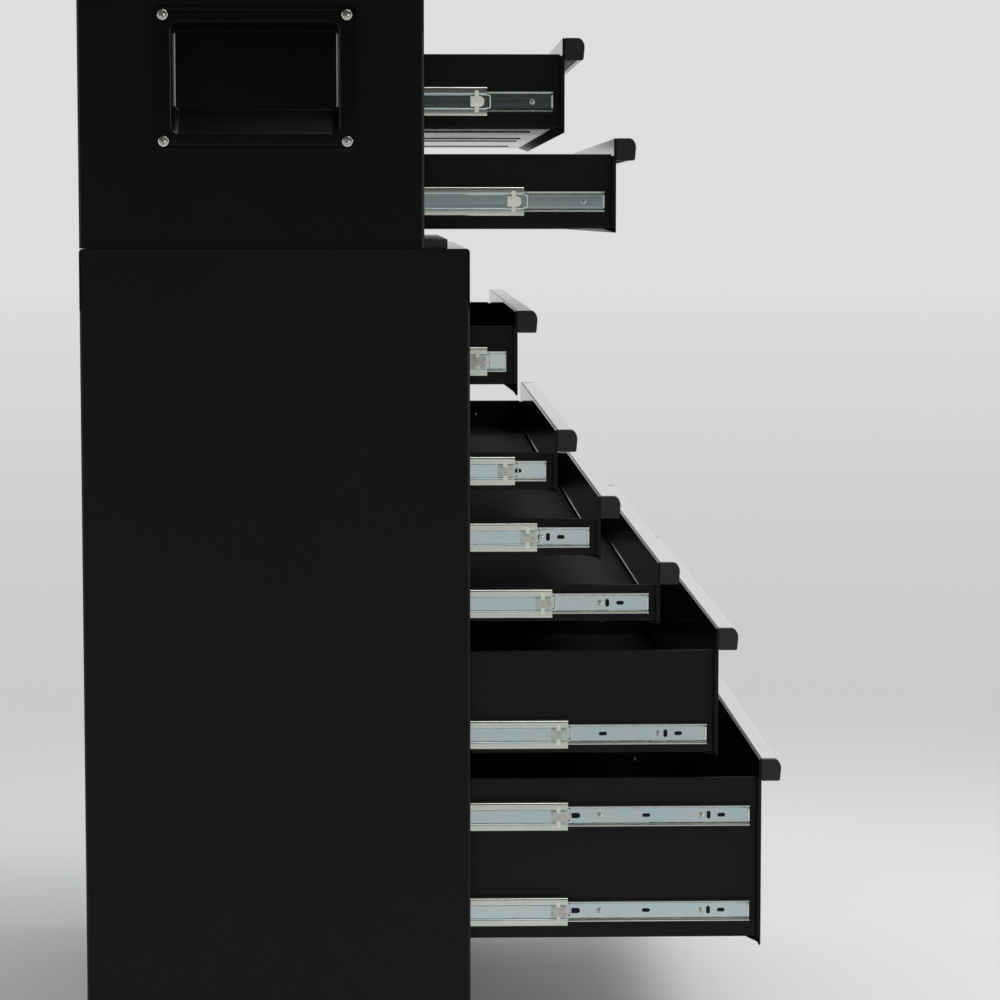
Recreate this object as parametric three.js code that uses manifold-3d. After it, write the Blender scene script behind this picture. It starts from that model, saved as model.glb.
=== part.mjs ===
// Tool chest standing on a rolling cabinet, with its eight drawers fanned open.
// Millimetres, +Z up, the drawers open towards -Y, the wheels stand on Z = 0.
import * as THREE from "three";
import { mergeVertices } from "three/addons/utils/BufferGeometryUtils.js";
import Module from "manifold-3d";

const wasm = await Module();
wasm.setup();

// Sheet metal and clearances
const sheet = 1.2;
const foldRadius = 1.5;
const seatGap = 0.3;
const frameGap = 1.5;
const bite = 0.2;
const overrun = 30;
const weldDistance = 0.001;

// Cabinet body
const cabinetWidth = 1168;
const cabinetDepth = 463;
const cabinetHeight = 920;
const cabinetFlange = 24;
const flangeReturn = 14;
const headerHeight = 72.8;
const middleRailHeight = 38.6;
const topEdgeRadius = 4;
const baseUpstand = 22;
const baseRadius = 4;

// Rubber mat on the cabinet, half under the chest
const matThickness = 10.5;
const matFrontInset = 26;
const matRearInset = 28;
const matSideInset = 44;
const matRadius = 3;

// Chest body and lid
const chestSideInset = 3;
const chestSetBack = 54;
const chestWidth = cabinetWidth - 2 * chestSideInset;
const chestDepth = cabinetDepth - chestSetBack;
const chestHeight = 410;
const chestFlange = 34;
const chestSill = 17.2;
const chestFloor = 12;
const lidHeight = 41.7;
const lidRadius = 5;
const lidPlay = 1.2;
const rimHeight = 24;

// Continuous hinge of the lid
const knuckleRadius = 3.2;
const hingePinRadius = 1.4;
const hingeBoreRadius = 1.7;
const hingeLeaf = 26;
const hingeEndInset = 35;
const hingeLength = chestWidth - 2 * hingeEndInset;
const hingeKnuckles = 9;
const knuckleGap = 0.6;

// Recessed carrying grip on each side of the chest
const gripPlateLength = 240;
const gripPlateHeight = 171.5;
const gripPlateThickness = 1.8;
const gripRadius = 9;
const gripSetBack = 199.4;
const gripCentreHeight = 200.5;
const pocketLength = 198.2;
const pocketHeight = 131.2;
const pocketDepth = 26;
const pocketWall = 1.4;
const pocketBackLength = 184.6;
const pocketBackHeight = 91.4;
const pocketBackRise = 10.5;
const gripBead = 1.6;
const gripBeadInset = 5;

// Three-section ball-bearing slides
const slideThickness = 12.7;
const slideSheet = 1.2;
const outerHeight = 45.5;
const carriageHeight = 35;
const memberHeight = 24.3;
const outerLip = 2;
const slideLip = 1.4;
const outerReach = 9.4;
const carriageReach = 10.6;
const sectionPlay = 0.7;
const outerLength = 350;
const outerSetBack = 9;
const carriageLength = 336;
const carriageSetBack = 16.9;
const memberLength = 340;
const memberSetBack = 13.6;
const slotLength = 9.4;
const slotWidth = 4.6;

// Uprights that carry the fixed slide sections
const uprightWidth = 36;
const uprightLip = 11;
const frontUprightSetBack = 22;
const rearUprightSetBack = 322;
const rackMargin = 12;

// Drawer boxes and fronts
const faceClearance = 1.5;
const faceThickness = 6.6;
const faceRadius = 1.4;
const finDepth = 16;
const cabinetBoxRearRoom = 39;
const chestBoxRearRoom = 43;
const cabinetBoxDepth = cabinetDepth - cabinetBoxRearRoom;
const chestBoxDepth = chestDepth - chestBoxRearRoom;
const hemWidth = 3.6;
const hemDrop = 8;
const hemRadius = 0.5;

// Drawer pulls: a rolled strip between two moulded end caps
const pullDepth = 24.5;
const pullHeight = 26.5;
const pullNose = 10;
const pullHeel = 2.2;
const pullSheet = 1.6;
const pullCapLength = 12;
const pullCapLap = 3;
const pullCapProud = 0.5;
const pullBackShare = 0.72;
const pullLipShare = 0.62;
const pullTaperShare = 0.93;

// Heights of the drawer fronts, from the pull's top to the lip's tip, and of what lies inside
const chestFace = 112.8;
const chestFaceSpace = 6.2;
const chestSideDrop = 18.7;
const chestLipDrop = 4.8;
const chestSlideRise = 32.5;
const topFace = 101.6;
const topSideDrop = 18.6;
const topLipDrop = 12.6;
const topSlideRise = 28;
const slimFace = 76;
const slimSideDrop = 27.5;
const slimLipDrop = 3.6;
const slimSlideRise = 22.6;
const deepFace = 156.1;
const deepSideDrop = 27.5;
const deepLipDrop = 2.6;
const deepSlideRise = 24;
const bottomFace = 229.3;
const bottomSideDrop = 23.4;
const bottomLipDrop = 8;
const bottomLowSlideRise = 34;
const bottomHighSlideRise = 151.6;
const faceSpace = 4.4;

// Casters
const casterHeight = 155;
const casterSideInset = 75;
const casterEndInset = 62;
const wheelRadius = 63.5;
const treadWidth = 32;
const hubWidth = 34;
const hubRadius = 15;
const wheelWeb = 9;
const rimRadius = 45;
const treadShoulder = 4;
const axleRadius = 6;
const axleHeadRadius = 9.5;
const axleHeadLength = 5;
const forkSheet = 3;
const wheelPlay = 0.5;
const plateLength = 105;
const plateWidth = 90;
const plateThickness = 3;
const plateRadius = 8;
const plateHoleRadius = 4.4;
const plateHoleInset = 12;
const raceRadius = 26;
const raceHeight = 7;
const cupHeight = 3.4;
const kingpinRadius = 5;
const kingpinBoreRadius = 5.8;
const kingpinNutRadius = 9;
const kingpinNutHeight = 5;
const swivelTrail = 35;
const forkTopHalf = 32;
const legEndRadius = 14;
const pedalPivotReach = 36;
const pedalPivotDrop = 10;
const pedalPinRadius = 3;
const pedalBossRadius = 5;
const pedalWidth = 29;
const pedalFootLength = 30;
const pedalFootWidth = 46;
const pedalThickness = 5;
const pedalDrop = 8;
const earReach = 11;

// Key locks in the two headers
const lockRadius = 9;
const lockProud = 0.8;
const lockDepth = 21;
const lockCamLength = 26;
const lockCamWidth = 12;
const lockCamThickness = 2.5;
const keySlotLength = 8;
const keySlotWidth = 1.6;
const keySlotDepth = 5;

// How far each drawer stands open, and the share of it that its middle slide sections have moved
const openDrawers = [
  { name: "chest_drawer_upper", open: 168, carriageShare: 0.55 },
  { name: "chest_drawer_lower", open: 230, carriageShare: 0.594 },
  { name: "cabinet_drawer_1", open: 57.3, carriageShare: 0.664 },
  { name: "cabinet_drawer_2", open: 105.7, carriageShare: 0.675 },
  { name: "cabinet_drawer_3", open: 158, carriageShare: 0.622 },
  { name: "cabinet_drawer_4", open: 230, carriageShare: 0.507 },
  { name: "cabinet_drawer_5", open: 301.4, carriageShare: 0.451 },
  { name: "cabinet_drawer_6", open: 354.5, carriageShare: 0.3836 },
];

// Slots along a cabinet drawer's slide section, as shares of its length from the front
const cabinetSlotShares = [
  { atShare: 0.1, upright: false },
  { atShare: 0.146, upright: true },
  { atShare: 0.371, upright: false },
  { atShare: 0.626, upright: false },
];

// Steps of round forms
const foldSteps = 1;
const cornerSteps = 2;
const noseSteps = 3;
const wheelSteps = 18;
const raceSteps = 12;
const lockSteps = 16;
const rodSteps = 8;
const nutSides = 6;
const filletShare = 0.48;

// Levels and planes that several pieces share
const cabinetTop = casterHeight + cabinetHeight;
const chestBase = cabinetTop + seatGap;
const chestFront = cabinetDepth - chestDepth;
const chestBodyTop = cabinetTop + chestHeight - lidHeight;
const cabinetOpening = cabinetWidth / 2 - cabinetFlange;
const chestOpening = chestWidth / 2 - chestFlange;
const chestStackTop = cabinetTop + chestSill + frameGap + 2 * chestFace + chestFaceSpace;
const cabinetStackTop = cabinetTop - headerHeight - frameGap;
const hingeY = cabinetDepth + knuckleRadius + seatGap;
const hingeZ = chestBodyTop + seatGap / 2;
const cabinetLockZ = cabinetTop - headerHeight / 2;
const chestLockZ = (chestStackTop + frameGap + chestBodyTop) / 2;

const blackSteel = new THREE.MeshStandardMaterial({ color: 0x1d1d1c, roughness: 0.42, metalness: 0.2 });
const drawerSteel = new THREE.MeshStandardMaterial({ color: 0x1b1b1b, roughness: 0.34, metalness: 0.2 });
const zincSteel = new THREE.MeshStandardMaterial({ color: 0xb9bfc2, roughness: 0.35, metalness: 0.9 });
const galvanised = new THREE.MeshStandardMaterial({ color: 0x8d9193, roughness: 0.5, metalness: 0.85 });
const pullAlloy = new THREE.MeshStandardMaterial({ color: 0xd9dadb, roughness: 0.3, metalness: 0.9 });
const blackRubber = new THREE.MeshStandardMaterial({ color: 0x161616, roughness: 0.85, metalness: 0 });
const tyreRubber = new THREE.MeshStandardMaterial({ color: 0x2a2a2a, roughness: 0.7, metalness: 0 });
const lockChrome = new THREE.MeshStandardMaterial({ color: 0xc9cbcc, roughness: 0.2, metalness: 1 });
const pedalPlastic = new THREE.MeshStandardMaterial({ color: 0x8c1d18, roughness: 0.5, metalness: 0 });

const part = new THREE.Group();

function toSolid(geometry) {
  const loose = geometry.index ? geometry.toNonIndexed() : geometry;
  const bare = new THREE.BufferGeometry();
  bare.setAttribute("position", loose.getAttribute("position"));
  const merged = mergeVertices(bare, weldDistance);
  const mesh = new wasm.Mesh({
    numProp: 3,
    vertProperties: merged.attributes.position.array,
    triVerts: new Uint32Array(merged.index.array),
  });
  return new wasm.Manifold(mesh);
}

function addPiece(name, solid, material, place = [0, 0, 0], turn = 0) {
  const cut = solid.getMesh();
  const geometry = new THREE.BufferGeometry();
  geometry.setAttribute("position", new THREE.BufferAttribute(new Float32Array(cut.vertProperties), 3));
  geometry.setIndex(new THREE.BufferAttribute(new Uint32Array(cut.triVerts), 1));
  geometry.computeVertexNormals();
  const mesh = new THREE.Mesh(geometry, material);
  mesh.name = name;
  mesh.position.set(...place);
  mesh.rotation.z = turn;
  part.add(mesh);
}

// Fillets the corners [a, b, radius, steps] of a polygon; a fillet never eats more than its edges hold.
function rounded(corners, usualSteps) {
  return corners.flatMap(([a, b, radius = 0, steps = usualSteps], i) => {
    if (radius === 0) return [[a, b]];
    const before = corners.at(i - 1);
    const after = corners[(i + 1) % corners.length];
    const toBefore = [before[0] - a, before[1] - b];
    const toAfter = [after[0] - a, after[1] - b];
    const lengths = [Math.hypot(...toBefore), Math.hypot(...toAfter)];
    const u = toBefore.map((v) => v / lengths[0]);
    const v = toAfter.map((w) => w / lengths[1]);
    const half = Math.acos(Math.max(-1, Math.min(1, u[0] * v[0] + u[1] * v[1]))) / 2;
    const reach = Math.min(radius / Math.tan(half), filletShare * Math.min(...lengths));
    const r = reach * Math.tan(half);
    const middle = Math.hypot(u[0] + v[0], u[1] + v[1]);
    const centre = [0, 1].map((k) => [a, b][k] + ((u[k] + v[k]) / middle) * (r / Math.sin(half)));
    const start = Math.atan2(b + u[1] * reach - centre[1], a + u[0] * reach - centre[0]);
    const end = Math.atan2(b + v[1] * reach - centre[1], a + v[0] * reach - centre[0]);
    const turn = Math.atan2(Math.sin(end - start), Math.cos(end - start));
    return Array.from({ length: steps + 1 }, (_, k) => {
      const angle = start + (turn * k) / steps;
      return [centre[0] + r * Math.cos(angle), centre[1] + r * Math.sin(angle)];
    });
  });
}

// The outline of a sheet folded along a path of [a, b, inside radius, steps] that runs in its middle.
function folded(path, thickness, steps = foldSteps) {
  const unit = (from, to) => {
    const length = Math.hypot(to[0] - from[0], to[1] - from[1]);
    return [(to[0] - from[0]) / length, (to[1] - from[1]) / length];
  };
  const half = thickness / 2;
  const left = [];
  const right = [];
  path.forEach((point, i) => {
    const inward = i > 0 ? unit(path[i - 1], point) : unit(point, path[1]);
    const outward = i < path.length - 1 ? unit(point, path[i + 1]) : inward;
    const across = [-inward[1] - outward[1], inward[0] + outward[0]];
    const mitre = half / (1 + inward[0] * outward[0] + inward[1] * outward[1]);
    const turn = inward[0] * outward[1] - inward[1] * outward[0];
    const isEnd = i === 0 || i === path.length - 1;
    const isSharp = isEnd || point[3] === 0;
    const inner = isSharp ? 0 : (point[2] ?? foldRadius);
    const outer = isSharp ? 0 : inner + thickness;
    const radii = turn > 0 ? [inner, outer] : [outer, inner];
    const own = point[3] ?? steps;
    left.push([point[0] + across[0] * mitre, point[1] + across[1] * mitre, radii[0], own]);
    right.push([point[0] - across[0] * mitre, point[1] - across[1] * mitre, radii[1], own]);
  });
  return rounded([...left, ...right.reverse()], steps);
}

const axisFrames = {
  x: new THREE.Matrix4().makeBasis(
    new THREE.Vector3(0, 1, 0),
    new THREE.Vector3(0, 0, 1),
    new THREE.Vector3(1, 0, 0),
  ),
  y: new THREE.Matrix4().makeBasis(
    new THREE.Vector3(1, 0, 0),
    new THREE.Vector3(0, 0, 1),
    new THREE.Vector3(0, -1, 0),
  ),
  z: new THREE.Matrix4(),
};

// An outline in YZ, XZ or XY, drawn out along x, y or z between two planes.
function prism(outline, axis, from, to) {
  const shape = new THREE.Shape(outline.map(([a, b]) => new THREE.Vector2(a, b)));
  const geometry = new THREE.ExtrudeGeometry(shape, { depth: to - from, bevelEnabled: false });
  geometry.translate(0, 0, axis === "y" ? -to : from);
  geometry.applyMatrix4(axisFrames[axis]);
  return toSolid(geometry);
}

function block(low, high) {
  const geometry = new THREE.BoxGeometry(...high.map((h, i) => h - low[i]));
  geometry.translate(...high.map((h, i) => (h + low[i]) / 2));
  return toSolid(geometry);
}

function rectangle(low, high, radius, steps = cornerSteps) {
  const corners = [
    [low[0], low[1], radius],
    [high[0], low[1], radius],
    [high[0], high[1], radius],
    [low[0], high[1], radius],
  ];
  return rounded(corners, steps);
}

function rod(radius, axis, from, to, centre, steps = rodSteps) {
  const geometry = new THREE.CylinderGeometry(radius, radius, to - from, steps);
  geometry.translate(0, (from + to) / 2, 0);
  if (axis === "x") geometry.rotateZ(-Math.PI / 2);
  if (axis === "z") geometry.rotateX(Math.PI / 2);
  geometry.translate(...centre);
  return toSolid(geometry);
}

// A closed skin through rings of points with the same count, capped by fans.
function loft(rings) {
  const count = rings[0].length;
  const index = [];
  for (let r = 0; r < rings.length - 1; r++) {
    for (let k = 0; k < count; k++) {
      const a = r * count + k;
      const b = r * count + ((k + 1) % count);
      index.push(a, b, b + count, a, b + count, a + count);
    }
  }
  const last = (rings.length - 1) * count;
  for (let k = 1; k < count - 1; k++) {
    index.push(0, k + 1, k);
    index.push(last, last + k, last + k + 1);
  }
  const geometry = new THREE.BufferGeometry();
  geometry.setAttribute("position", new THREE.Float32BufferAttribute(rings.flat(2), 3));
  geometry.setIndex(index);
  return toSolid(geometry);
}

const join = (first, ...others) => others.reduce((whole, other) => whole.add(other), first);

const sides = [
  { name: "left", sign: -1 },
  { name: "right", sign: 1 },
];

// Bodies: one wrapped sheet makes the sides, the back and the front flanges
function wrapper(halfWidth, front, rear, opening, low, high) {
  const x = halfWidth - sheet / 2;
  const inner = opening + sheet / 2;
  const y = front + sheet / 2;
  const right = [
    [x, rear - sheet / 2],
    [x, y],
    [inner, y],
    [inner, front + flangeReturn],
  ];
  const left = right.map(([a, b]) => [-a, b]).reverse();
  return prism(folded([...left, ...right], sheet), "z", low, high);
}

function cabinetShell() {
  const half = cabinetWidth / 2;
  const y = sheet / 2;
  const headerPath = [
    [flangeReturn, cabinetTop - headerHeight + sheet / 2],
    [y, cabinetTop - headerHeight + sheet / 2],
    [y, cabinetTop - sheet / 2, topEdgeRadius - sheet],
    [cabinetDepth - y, cabinetTop - sheet / 2, topEdgeRadius - sheet],
    [cabinetDepth - y, cabinetTop - headerHeight],
  ];
  const railTop = cabinetStackTop - topFace - frameGap;
  const railPath = [
    [flangeReturn, railTop - sheet / 2],
    [y, railTop - sheet / 2],
    [y, railTop - middleRailHeight + sheet / 2],
    [flangeReturn, railTop - middleRailHeight + sheet / 2],
  ];
  const outline = [
    [0, casterHeight],
    [cabinetDepth, casterHeight],
    [cabinetDepth, cabinetTop, topEdgeRadius],
    [0, cabinetTop, topEdgeRadius],
  ];
  const lockHole = rod(lockRadius + seatGap, "y", -overrun, overrun, [0, 0, cabinetLockZ], lockSteps);
  return join(
    wrapper(half, 0, cabinetDepth, cabinetOpening, casterHeight, cabinetTop),
    prism(folded(headerPath, sheet, cornerSteps), "x", -half, half),
    prism(folded(railPath, sheet), "x", -cabinetOpening - bite, cabinetOpening + bite),
  )
    .intersect(prism(rounded(outline, cornerSteps), "x", -half, half))
    .subtract(lockHole);
}

function cabinetBase() {
  const bottomRailTop = cabinetPlans.at(-1).faceBottom - frameGap;
  const inner = cabinetOpening - seatGap;
  const wide = cabinetWidth / 2 - sheet - seatGap;
  const rear = cabinetDepth - sheet - seatGap;
  const start = flangeReturn + seatGap;
  const railPath = [
    [start, bottomRailTop - sheet / 2],
    [sheet / 2, bottomRailTop - sheet / 2],
    [sheet / 2, casterHeight + sheet / 2],
    [start + bite, casterHeight + sheet / 2],
  ];
  const outer = rectangle([-wide, start], [wide, rear], baseRadius);
  const inside = rectangle([-wide + sheet, start + sheet], [wide - sheet, rear - sheet], baseRadius - sheet);
  const pan = prism(outer, "z", casterHeight, casterHeight + baseUpstand);
  const hollow = prism(inside, "z", casterHeight + sheet, casterHeight + baseUpstand + overrun);
  return join(pan.subtract(hollow), prism(folded(railPath, sheet), "x", -inner, inner));
}

function topMat() {
  const half = cabinetWidth / 2 - matSideInset;
  const outline = [
    [matFrontInset, cabinetTop + seatGap],
    [cabinetDepth - matRearInset, cabinetTop + seatGap],
    [cabinetDepth - matRearInset, cabinetTop + seatGap + matThickness, matRadius],
    [matFrontInset, cabinetTop + seatGap + matThickness, matRadius],
  ];
  return prism(rounded(outline, cornerSteps), "x", -half, half);
}

// Lid hinge: knuckles in turn on the chest and on the lid, round one pin
function hingeKnuckle(index, upward) {
  const pitch = hingeLength / hingeKnuckles;
  const from = -hingeLength / 2 + index * pitch + knuckleGap / 2;
  const to = from + pitch - knuckleGap;
  const z = upward ? [hingeZ + seatGap, hingeZ + hingeLeaf] : [hingeZ - hingeLeaf, hingeZ - seatGap];
  const barrel = rod(knuckleRadius, "x", from, to, [0, hingeY, hingeZ]);
  const leaf = block([from, cabinetDepth - bite, z[0]], [to, cabinetDepth + sheet, z[1]]);
  const tab = upward
    ? block([from, cabinetDepth - bite, z[0]], [to, hingeY - hingeBoreRadius, hingeZ + knuckleRadius])
    : block([from, cabinetDepth - bite, hingeZ - knuckleRadius], [to, hingeY - hingeBoreRadius, z[1]]);
  const bore = rod(hingeBoreRadius, "x", from - overrun, to + overrun, [0, hingeY, hingeZ]);
  return join(barrel, leaf, tab).subtract(bore);
}

function knuckles(upward) {
  const own = Array.from({ length: hingeKnuckles }, (_, i) => i).filter((i) => (i % 2 === 1) === upward);
  return own.map((i) => hingeKnuckle(i, upward));
}

function chestShell() {
  const half = chestWidth / 2;
  const y = chestFront + sheet / 2;
  const rear = cabinetDepth - sheet / 2;
  const shelf = chestStackTop + frameGap + sheet / 2;
  const headerPath = [
    [y, chestBodyTop - sheet / 2],
    [y, shelf],
    [rear, shelf],
  ];
  const sillPath = [
    [chestFront + flangeReturn, cabinetTop + chestSill - sheet / 2],
    [y, cabinetTop + chestSill - sheet / 2],
    [y, cabinetTop + chestFloor + sheet / 2],
    [rear, cabinetTop + chestFloor + sheet / 2],
  ];
  const rimInset = 2 * sheet + lidPlay;
  const outer = rectangle([-half, chestFront], [half, cabinetDepth], sheet + foldRadius);
  const rimLow = [-half + rimInset - sheet, chestFront + rimInset - sheet];
  const rimHigh = [half - rimInset + sheet, cabinetDepth - rimInset + sheet];
  const rim = rectangle(rimLow, rimHigh, lidRadius - sheet);
  const rimInner = rectangle(
    rimLow.map((v) => v + sheet),
    rimHigh.map((v) => v - sheet),
    lidRadius - 2 * sheet,
  );
  const cuts = [
    prism(rimInner, "z", chestBodyTop - sheet - bite, chestBodyTop + rimHeight + overrun),
    rod(lockRadius + seatGap, "y", -overrun, overrun, [0, chestFront, chestLockZ], lockSteps),
    ...sides.map(({ sign }) => gripCutter(sign)),
  ];
  const body = join(
    wrapper(half, chestFront, cabinetDepth, chestOpening, chestBase, chestBodyTop - bite),
    prism(folded(headerPath, sheet), "x", -half + sheet / 2, half - sheet / 2),
    prism(folded(sillPath, sheet), "x", -half + sheet / 2, half - sheet / 2),
    prism(outer, "z", chestBodyTop - sheet, chestBodyTop),
    prism(rim, "z", chestBodyTop - sheet, chestBodyTop + rimHeight),
  );
  const open = cuts.reduce((whole, cut) => whole.subtract(cut), body);
  return join(open, ...knuckles(false));
}

function chestLid() {
  const half = chestWidth / 2;
  const top = cabinetTop + chestHeight;
  const low = chestBodyTop + seatGap;
  const plan = rectangle([-half, chestFront], [half, cabinetDepth], lidRadius);
  const inner = rectangle(
    [-half + sheet, chestFront + sheet],
    [half - sheet, cabinetDepth - sheet],
    lidRadius - sheet,
  );
  const sideView = [
    [chestFront, low],
    [cabinetDepth, low],
    [cabinetDepth, top, lidRadius],
    [chestFront, top, lidRadius],
  ];
  const frontView = [
    [-half, low],
    [half, low],
    [half, top, lidRadius],
    [-half, top, lidRadius],
  ];
  const crown = prism(plan, "z", low, top)
    .intersect(prism(rounded(sideView, cornerSteps), "x", -half, half))
    .intersect(prism(rounded(frontView, cornerSteps), "y", chestFront, cabinetDepth));
  const shell = crown.subtract(prism(inner, "z", low - overrun, top - sheet));
  return join(shell, ...knuckles(true));
}

// Carrying grips: a plate with a tapered pocket pressed into it
const gripY = chestFront + gripSetBack;
const gripZ = cabinetTop + gripCentreHeight;

function pocketRing(x, length, height, rise, radius) {
  const low = [gripY - length / 2, gripZ + rise - height / 2];
  const high = [gripY + length / 2, gripZ + rise + height / 2];
  return rectangle(low, high, radius).map(([y, z]) => [x, y, z]);
}

function pocket(sign, grow, start) {
  const face = chestWidth / 2 + seatGap;
  const rings = [
    pocketRing(sign * (face + start), pocketLength + grow, pocketHeight + grow, 0, gripRadius),
    pocketRing(sign * face, pocketLength + grow, pocketHeight + grow, 0, gripRadius),
    pocketRing(
      sign * (face - pocketDepth - grow / 2),
      pocketBackLength + grow,
      pocketBackHeight + grow,
      pocketBackRise,
      gripRadius,
    ),
  ];
  return loft(sign < 0 ? rings : rings.reverse());
}

function gripCutter(sign) {
  const room = 2 * (pocketWall + seatGap);
  const low = [gripY - pocketLength / 2 - room, gripZ - pocketHeight / 2 - room];
  const high = [gripY + pocketLength / 2 + room, gripZ + pocketHeight / 2 + room];
  const half = chestWidth / 2;
  const planes = [sign * (half - pocketDepth - 2 * pocketWall), sign * (half + overrun)];
  return prism(rectangle(low, high, gripRadius), "x", ...planes.sort((a, b) => a - b));
}

function sideGrip(sign) {
  const inside = chestWidth / 2 + seatGap;
  const outside = inside + gripPlateThickness;
  const plate = (inset, from, to) => {
    const low = [gripY - gripPlateLength / 2 + inset, gripZ - gripPlateHeight / 2 + inset];
    const high = [gripY + gripPlateLength / 2 - inset, gripZ + gripPlateHeight / 2 - inset];
    const planes = [sign * from, sign * to].sort((a, b) => a - b);
    return prism(rectangle(low, high, gripRadius), "x", ...planes);
  };
  const pressed = plate(gripBeadInset, inside + bite, outside + overrun).subtract(
    plate(gripBeadInset + gripBead, inside - overrun, outside + 2 * overrun),
  );
  return plate(0, inside, outside)
    .subtract(pressed)
    .add(pocket(sign, 2 * pocketWall, gripPlateThickness))
    .subtract(pocket(sign, 0, overrun));
}

// Slides: nested C sections, the fixed one round the carriage, the carriage round the drawer's own
function section(sign, opening, points) {
  return folded(
    points.map(([across, ...rest]) => [sign * (opening - across), ...rest]),
    slideSheet,
  );
}

function outerSection(sign, opening, z, front) {
  const web = slideSheet / 2;
  const half = outerHeight / 2 - slideSheet / 2;
  const points = [
    [outerReach, z + half - outerLip],
    [outerReach, z + half, 0, 0],
    [web, z + half],
    [web, z - half],
    [outerReach, z - half, 0, 0],
    [outerReach, z - half + outerLip],
  ];
  return prism(section(sign, opening, points), "y", front + outerSetBack, front + outerSetBack + outerLength);
}

function carriageSection(sign, opening, z, front, travelled) {
  const web = slideSheet + sectionPlay + slideSheet / 2;
  const half = carriageHeight / 2 - slideSheet / 2;
  const points = [
    [carriageReach, z + half - slideLip],
    [carriageReach, z + half, 0, 0],
    [web, z + half],
    [web, z - half],
    [carriageReach, z - half, 0, 0],
    [carriageReach, z - half + slideLip],
  ];
  const start = front + carriageSetBack - travelled;
  return prism(section(sign, opening, points), "y", start, start + carriageLength);
}

function memberSection(sign, opening, z, front, travelled, slotShares) {
  const web = slideThickness - slideSheet / 2 + bite;
  const tip = 2 * slideSheet + 2 * sectionPlay;
  const half = memberHeight / 2 - slideSheet / 2;
  const points = [
    [tip, z + half],
    [web, z + half],
    [web, z - half],
    [tip, z - half],
  ];
  const start = front + memberSetBack - travelled;
  const bar = prism(section(sign, opening, points), "y", start, start + memberLength);
  const near = sign * opening - overrun / 2;
  return slotShares.reduce((whole, { atShare, upright }) => {
    const y = start + atShare * memberLength;
    const halfY = (upright ? slotWidth : slotLength) / 2;
    const halfZ = (upright ? slotLength : slotWidth) / 2;
    const outline = rectangle([y - halfY, z - halfZ], [y + halfY, z + halfZ], slotWidth / 2, foldSteps);
    return whole.subtract(prism(outline, "x", near, near + overrun));
  }, bar);
}

// Racks: two folded uprights welded to the fixed slide sections
function slideRack(sign, halfWidth, opening, front, plans) {
  const wall = halfWidth - sheet - seatGap - sheet / 2;
  const rail = opening + sheet / 2 - bite;
  const heights = plans.flatMap((plan) => plan.slideHeights);
  const low = Math.min(...heights) - outerHeight / 2 - rackMargin;
  const high = Math.max(...heights) + outerHeight / 2 + rackMargin;
  const uprights = [frontUprightSetBack, rearUprightSetBack].map((setBack) => {
    const near = front + setBack;
    const path = [
      [wall, near - uprightLip],
      [wall, near],
      [rail, near],
      [rail, near + uprightWidth],
      [wall, near + uprightWidth],
      [wall, near + uprightWidth + uprightLip],
    ];
    return prism(
      folded(
        path.map(([x, y]) => [sign * x, y]),
        sheet,
      ),
      "z",
      low,
      high,
    );
  });
  return join(...uprights, ...heights.map((z) => outerSection(sign, opening, z, front)));
}

// Drawers: a folded tray, a hollow folded front with its fin below, and the slide sections on its sides
function drawerTray(plan) {
  const half = plan.opening - slideThickness - sheet / 2;
  const hem = half - (hemWidth - sheet);
  const low = plan.boxBottom + sheet / 2;
  const high = plan.boxTop - sheet / 2;
  const right = [
    [half, low],
    [half, high, hemRadius],
    [hem, high, hemRadius],
    [hem, plan.boxTop - hemDrop],
  ];
  const left = right.map(([x, z, r]) => [-x, z, r]).reverse();
  const front = plan.face + faceThickness - bite;
  const rear = plan.face + plan.boxDepth;
  const tray = prism(folded([...left, ...right], sheet), "y", front, rear);
  const back = block([-half, rear - sheet, plan.boxBottom + bite], [half, rear, plan.boxTop - bite]);
  return join(tray, back);
}

function drawerFront(plan) {
  const half = plan.opening - faceClearance;
  const boxHalf = plan.opening - slideThickness;
  const skin = plan.face + sheet / 2;
  const inner = plan.face + faceThickness - sheet / 2;
  const top = plan.faceTop - sheet / 2;
  const panPath = [
    [skin, plan.faceBottom],
    [skin, top, faceRadius],
    [inner, top, faceRadius],
    [inner, plan.boxBottom],
  ];
  const finPath = [
    [plan.face, plan.faceBottom + sheet / 2],
    [plan.face + finDepth, plan.boxBottom + sheet / 2],
  ];
  return join(
    prism(folded(panPath, sheet, cornerSteps), "x", -half, half),
    prism(folded(finPath, sheet), "x", -boxHalf, boxHalf),
  );
}

function drawer(plan) {
  const members = sides.flatMap(({ sign }) =>
    plan.slideHeights.map((z) =>
      memberSection(sign, plan.opening, z, plan.front, plan.open, plan.slotShares),
    ),
  );
  return join(drawerTray(plan), drawerFront(plan), ...members);
}

function drawerPull(plan) {
  const half = plan.opening - faceClearance;
  const back = plan.face - seatGap;
  const top = plan.faceTop;
  const nose = back - pullDepth;
  const heel = back - pullDepth * pullTaperShare;
  const capOutline = [
    [back, top],
    [nose, top, pullNose],
    [heel, top - pullHeight, pullHeel, foldSteps],
    [back, top - pullHeight],
  ];
  const inset = pullCapProud + pullSheet / 2;
  const stripPath = [
    [back - pullSheet / 2, top - pullHeight * pullBackShare],
    [back - pullSheet / 2, top - inset, 0],
    [nose + inset, top - inset, pullNose - inset],
    [heel + inset, top - pullHeight + inset, pullHeel, foldSteps],
    [back - pullDepth * pullLipShare, top - pullHeight + inset],
  ];
  const cap = rounded(capOutline, noseSteps);
  const strip = prism(folded(stripPath, pullSheet, noseSteps), "x", pullCapLap - half, half - pullCapLap);
  return join(strip, prism(cap, "x", -half, pullCapLength - half), prism(cap, "x", half - pullCapLength, half));
}

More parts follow.
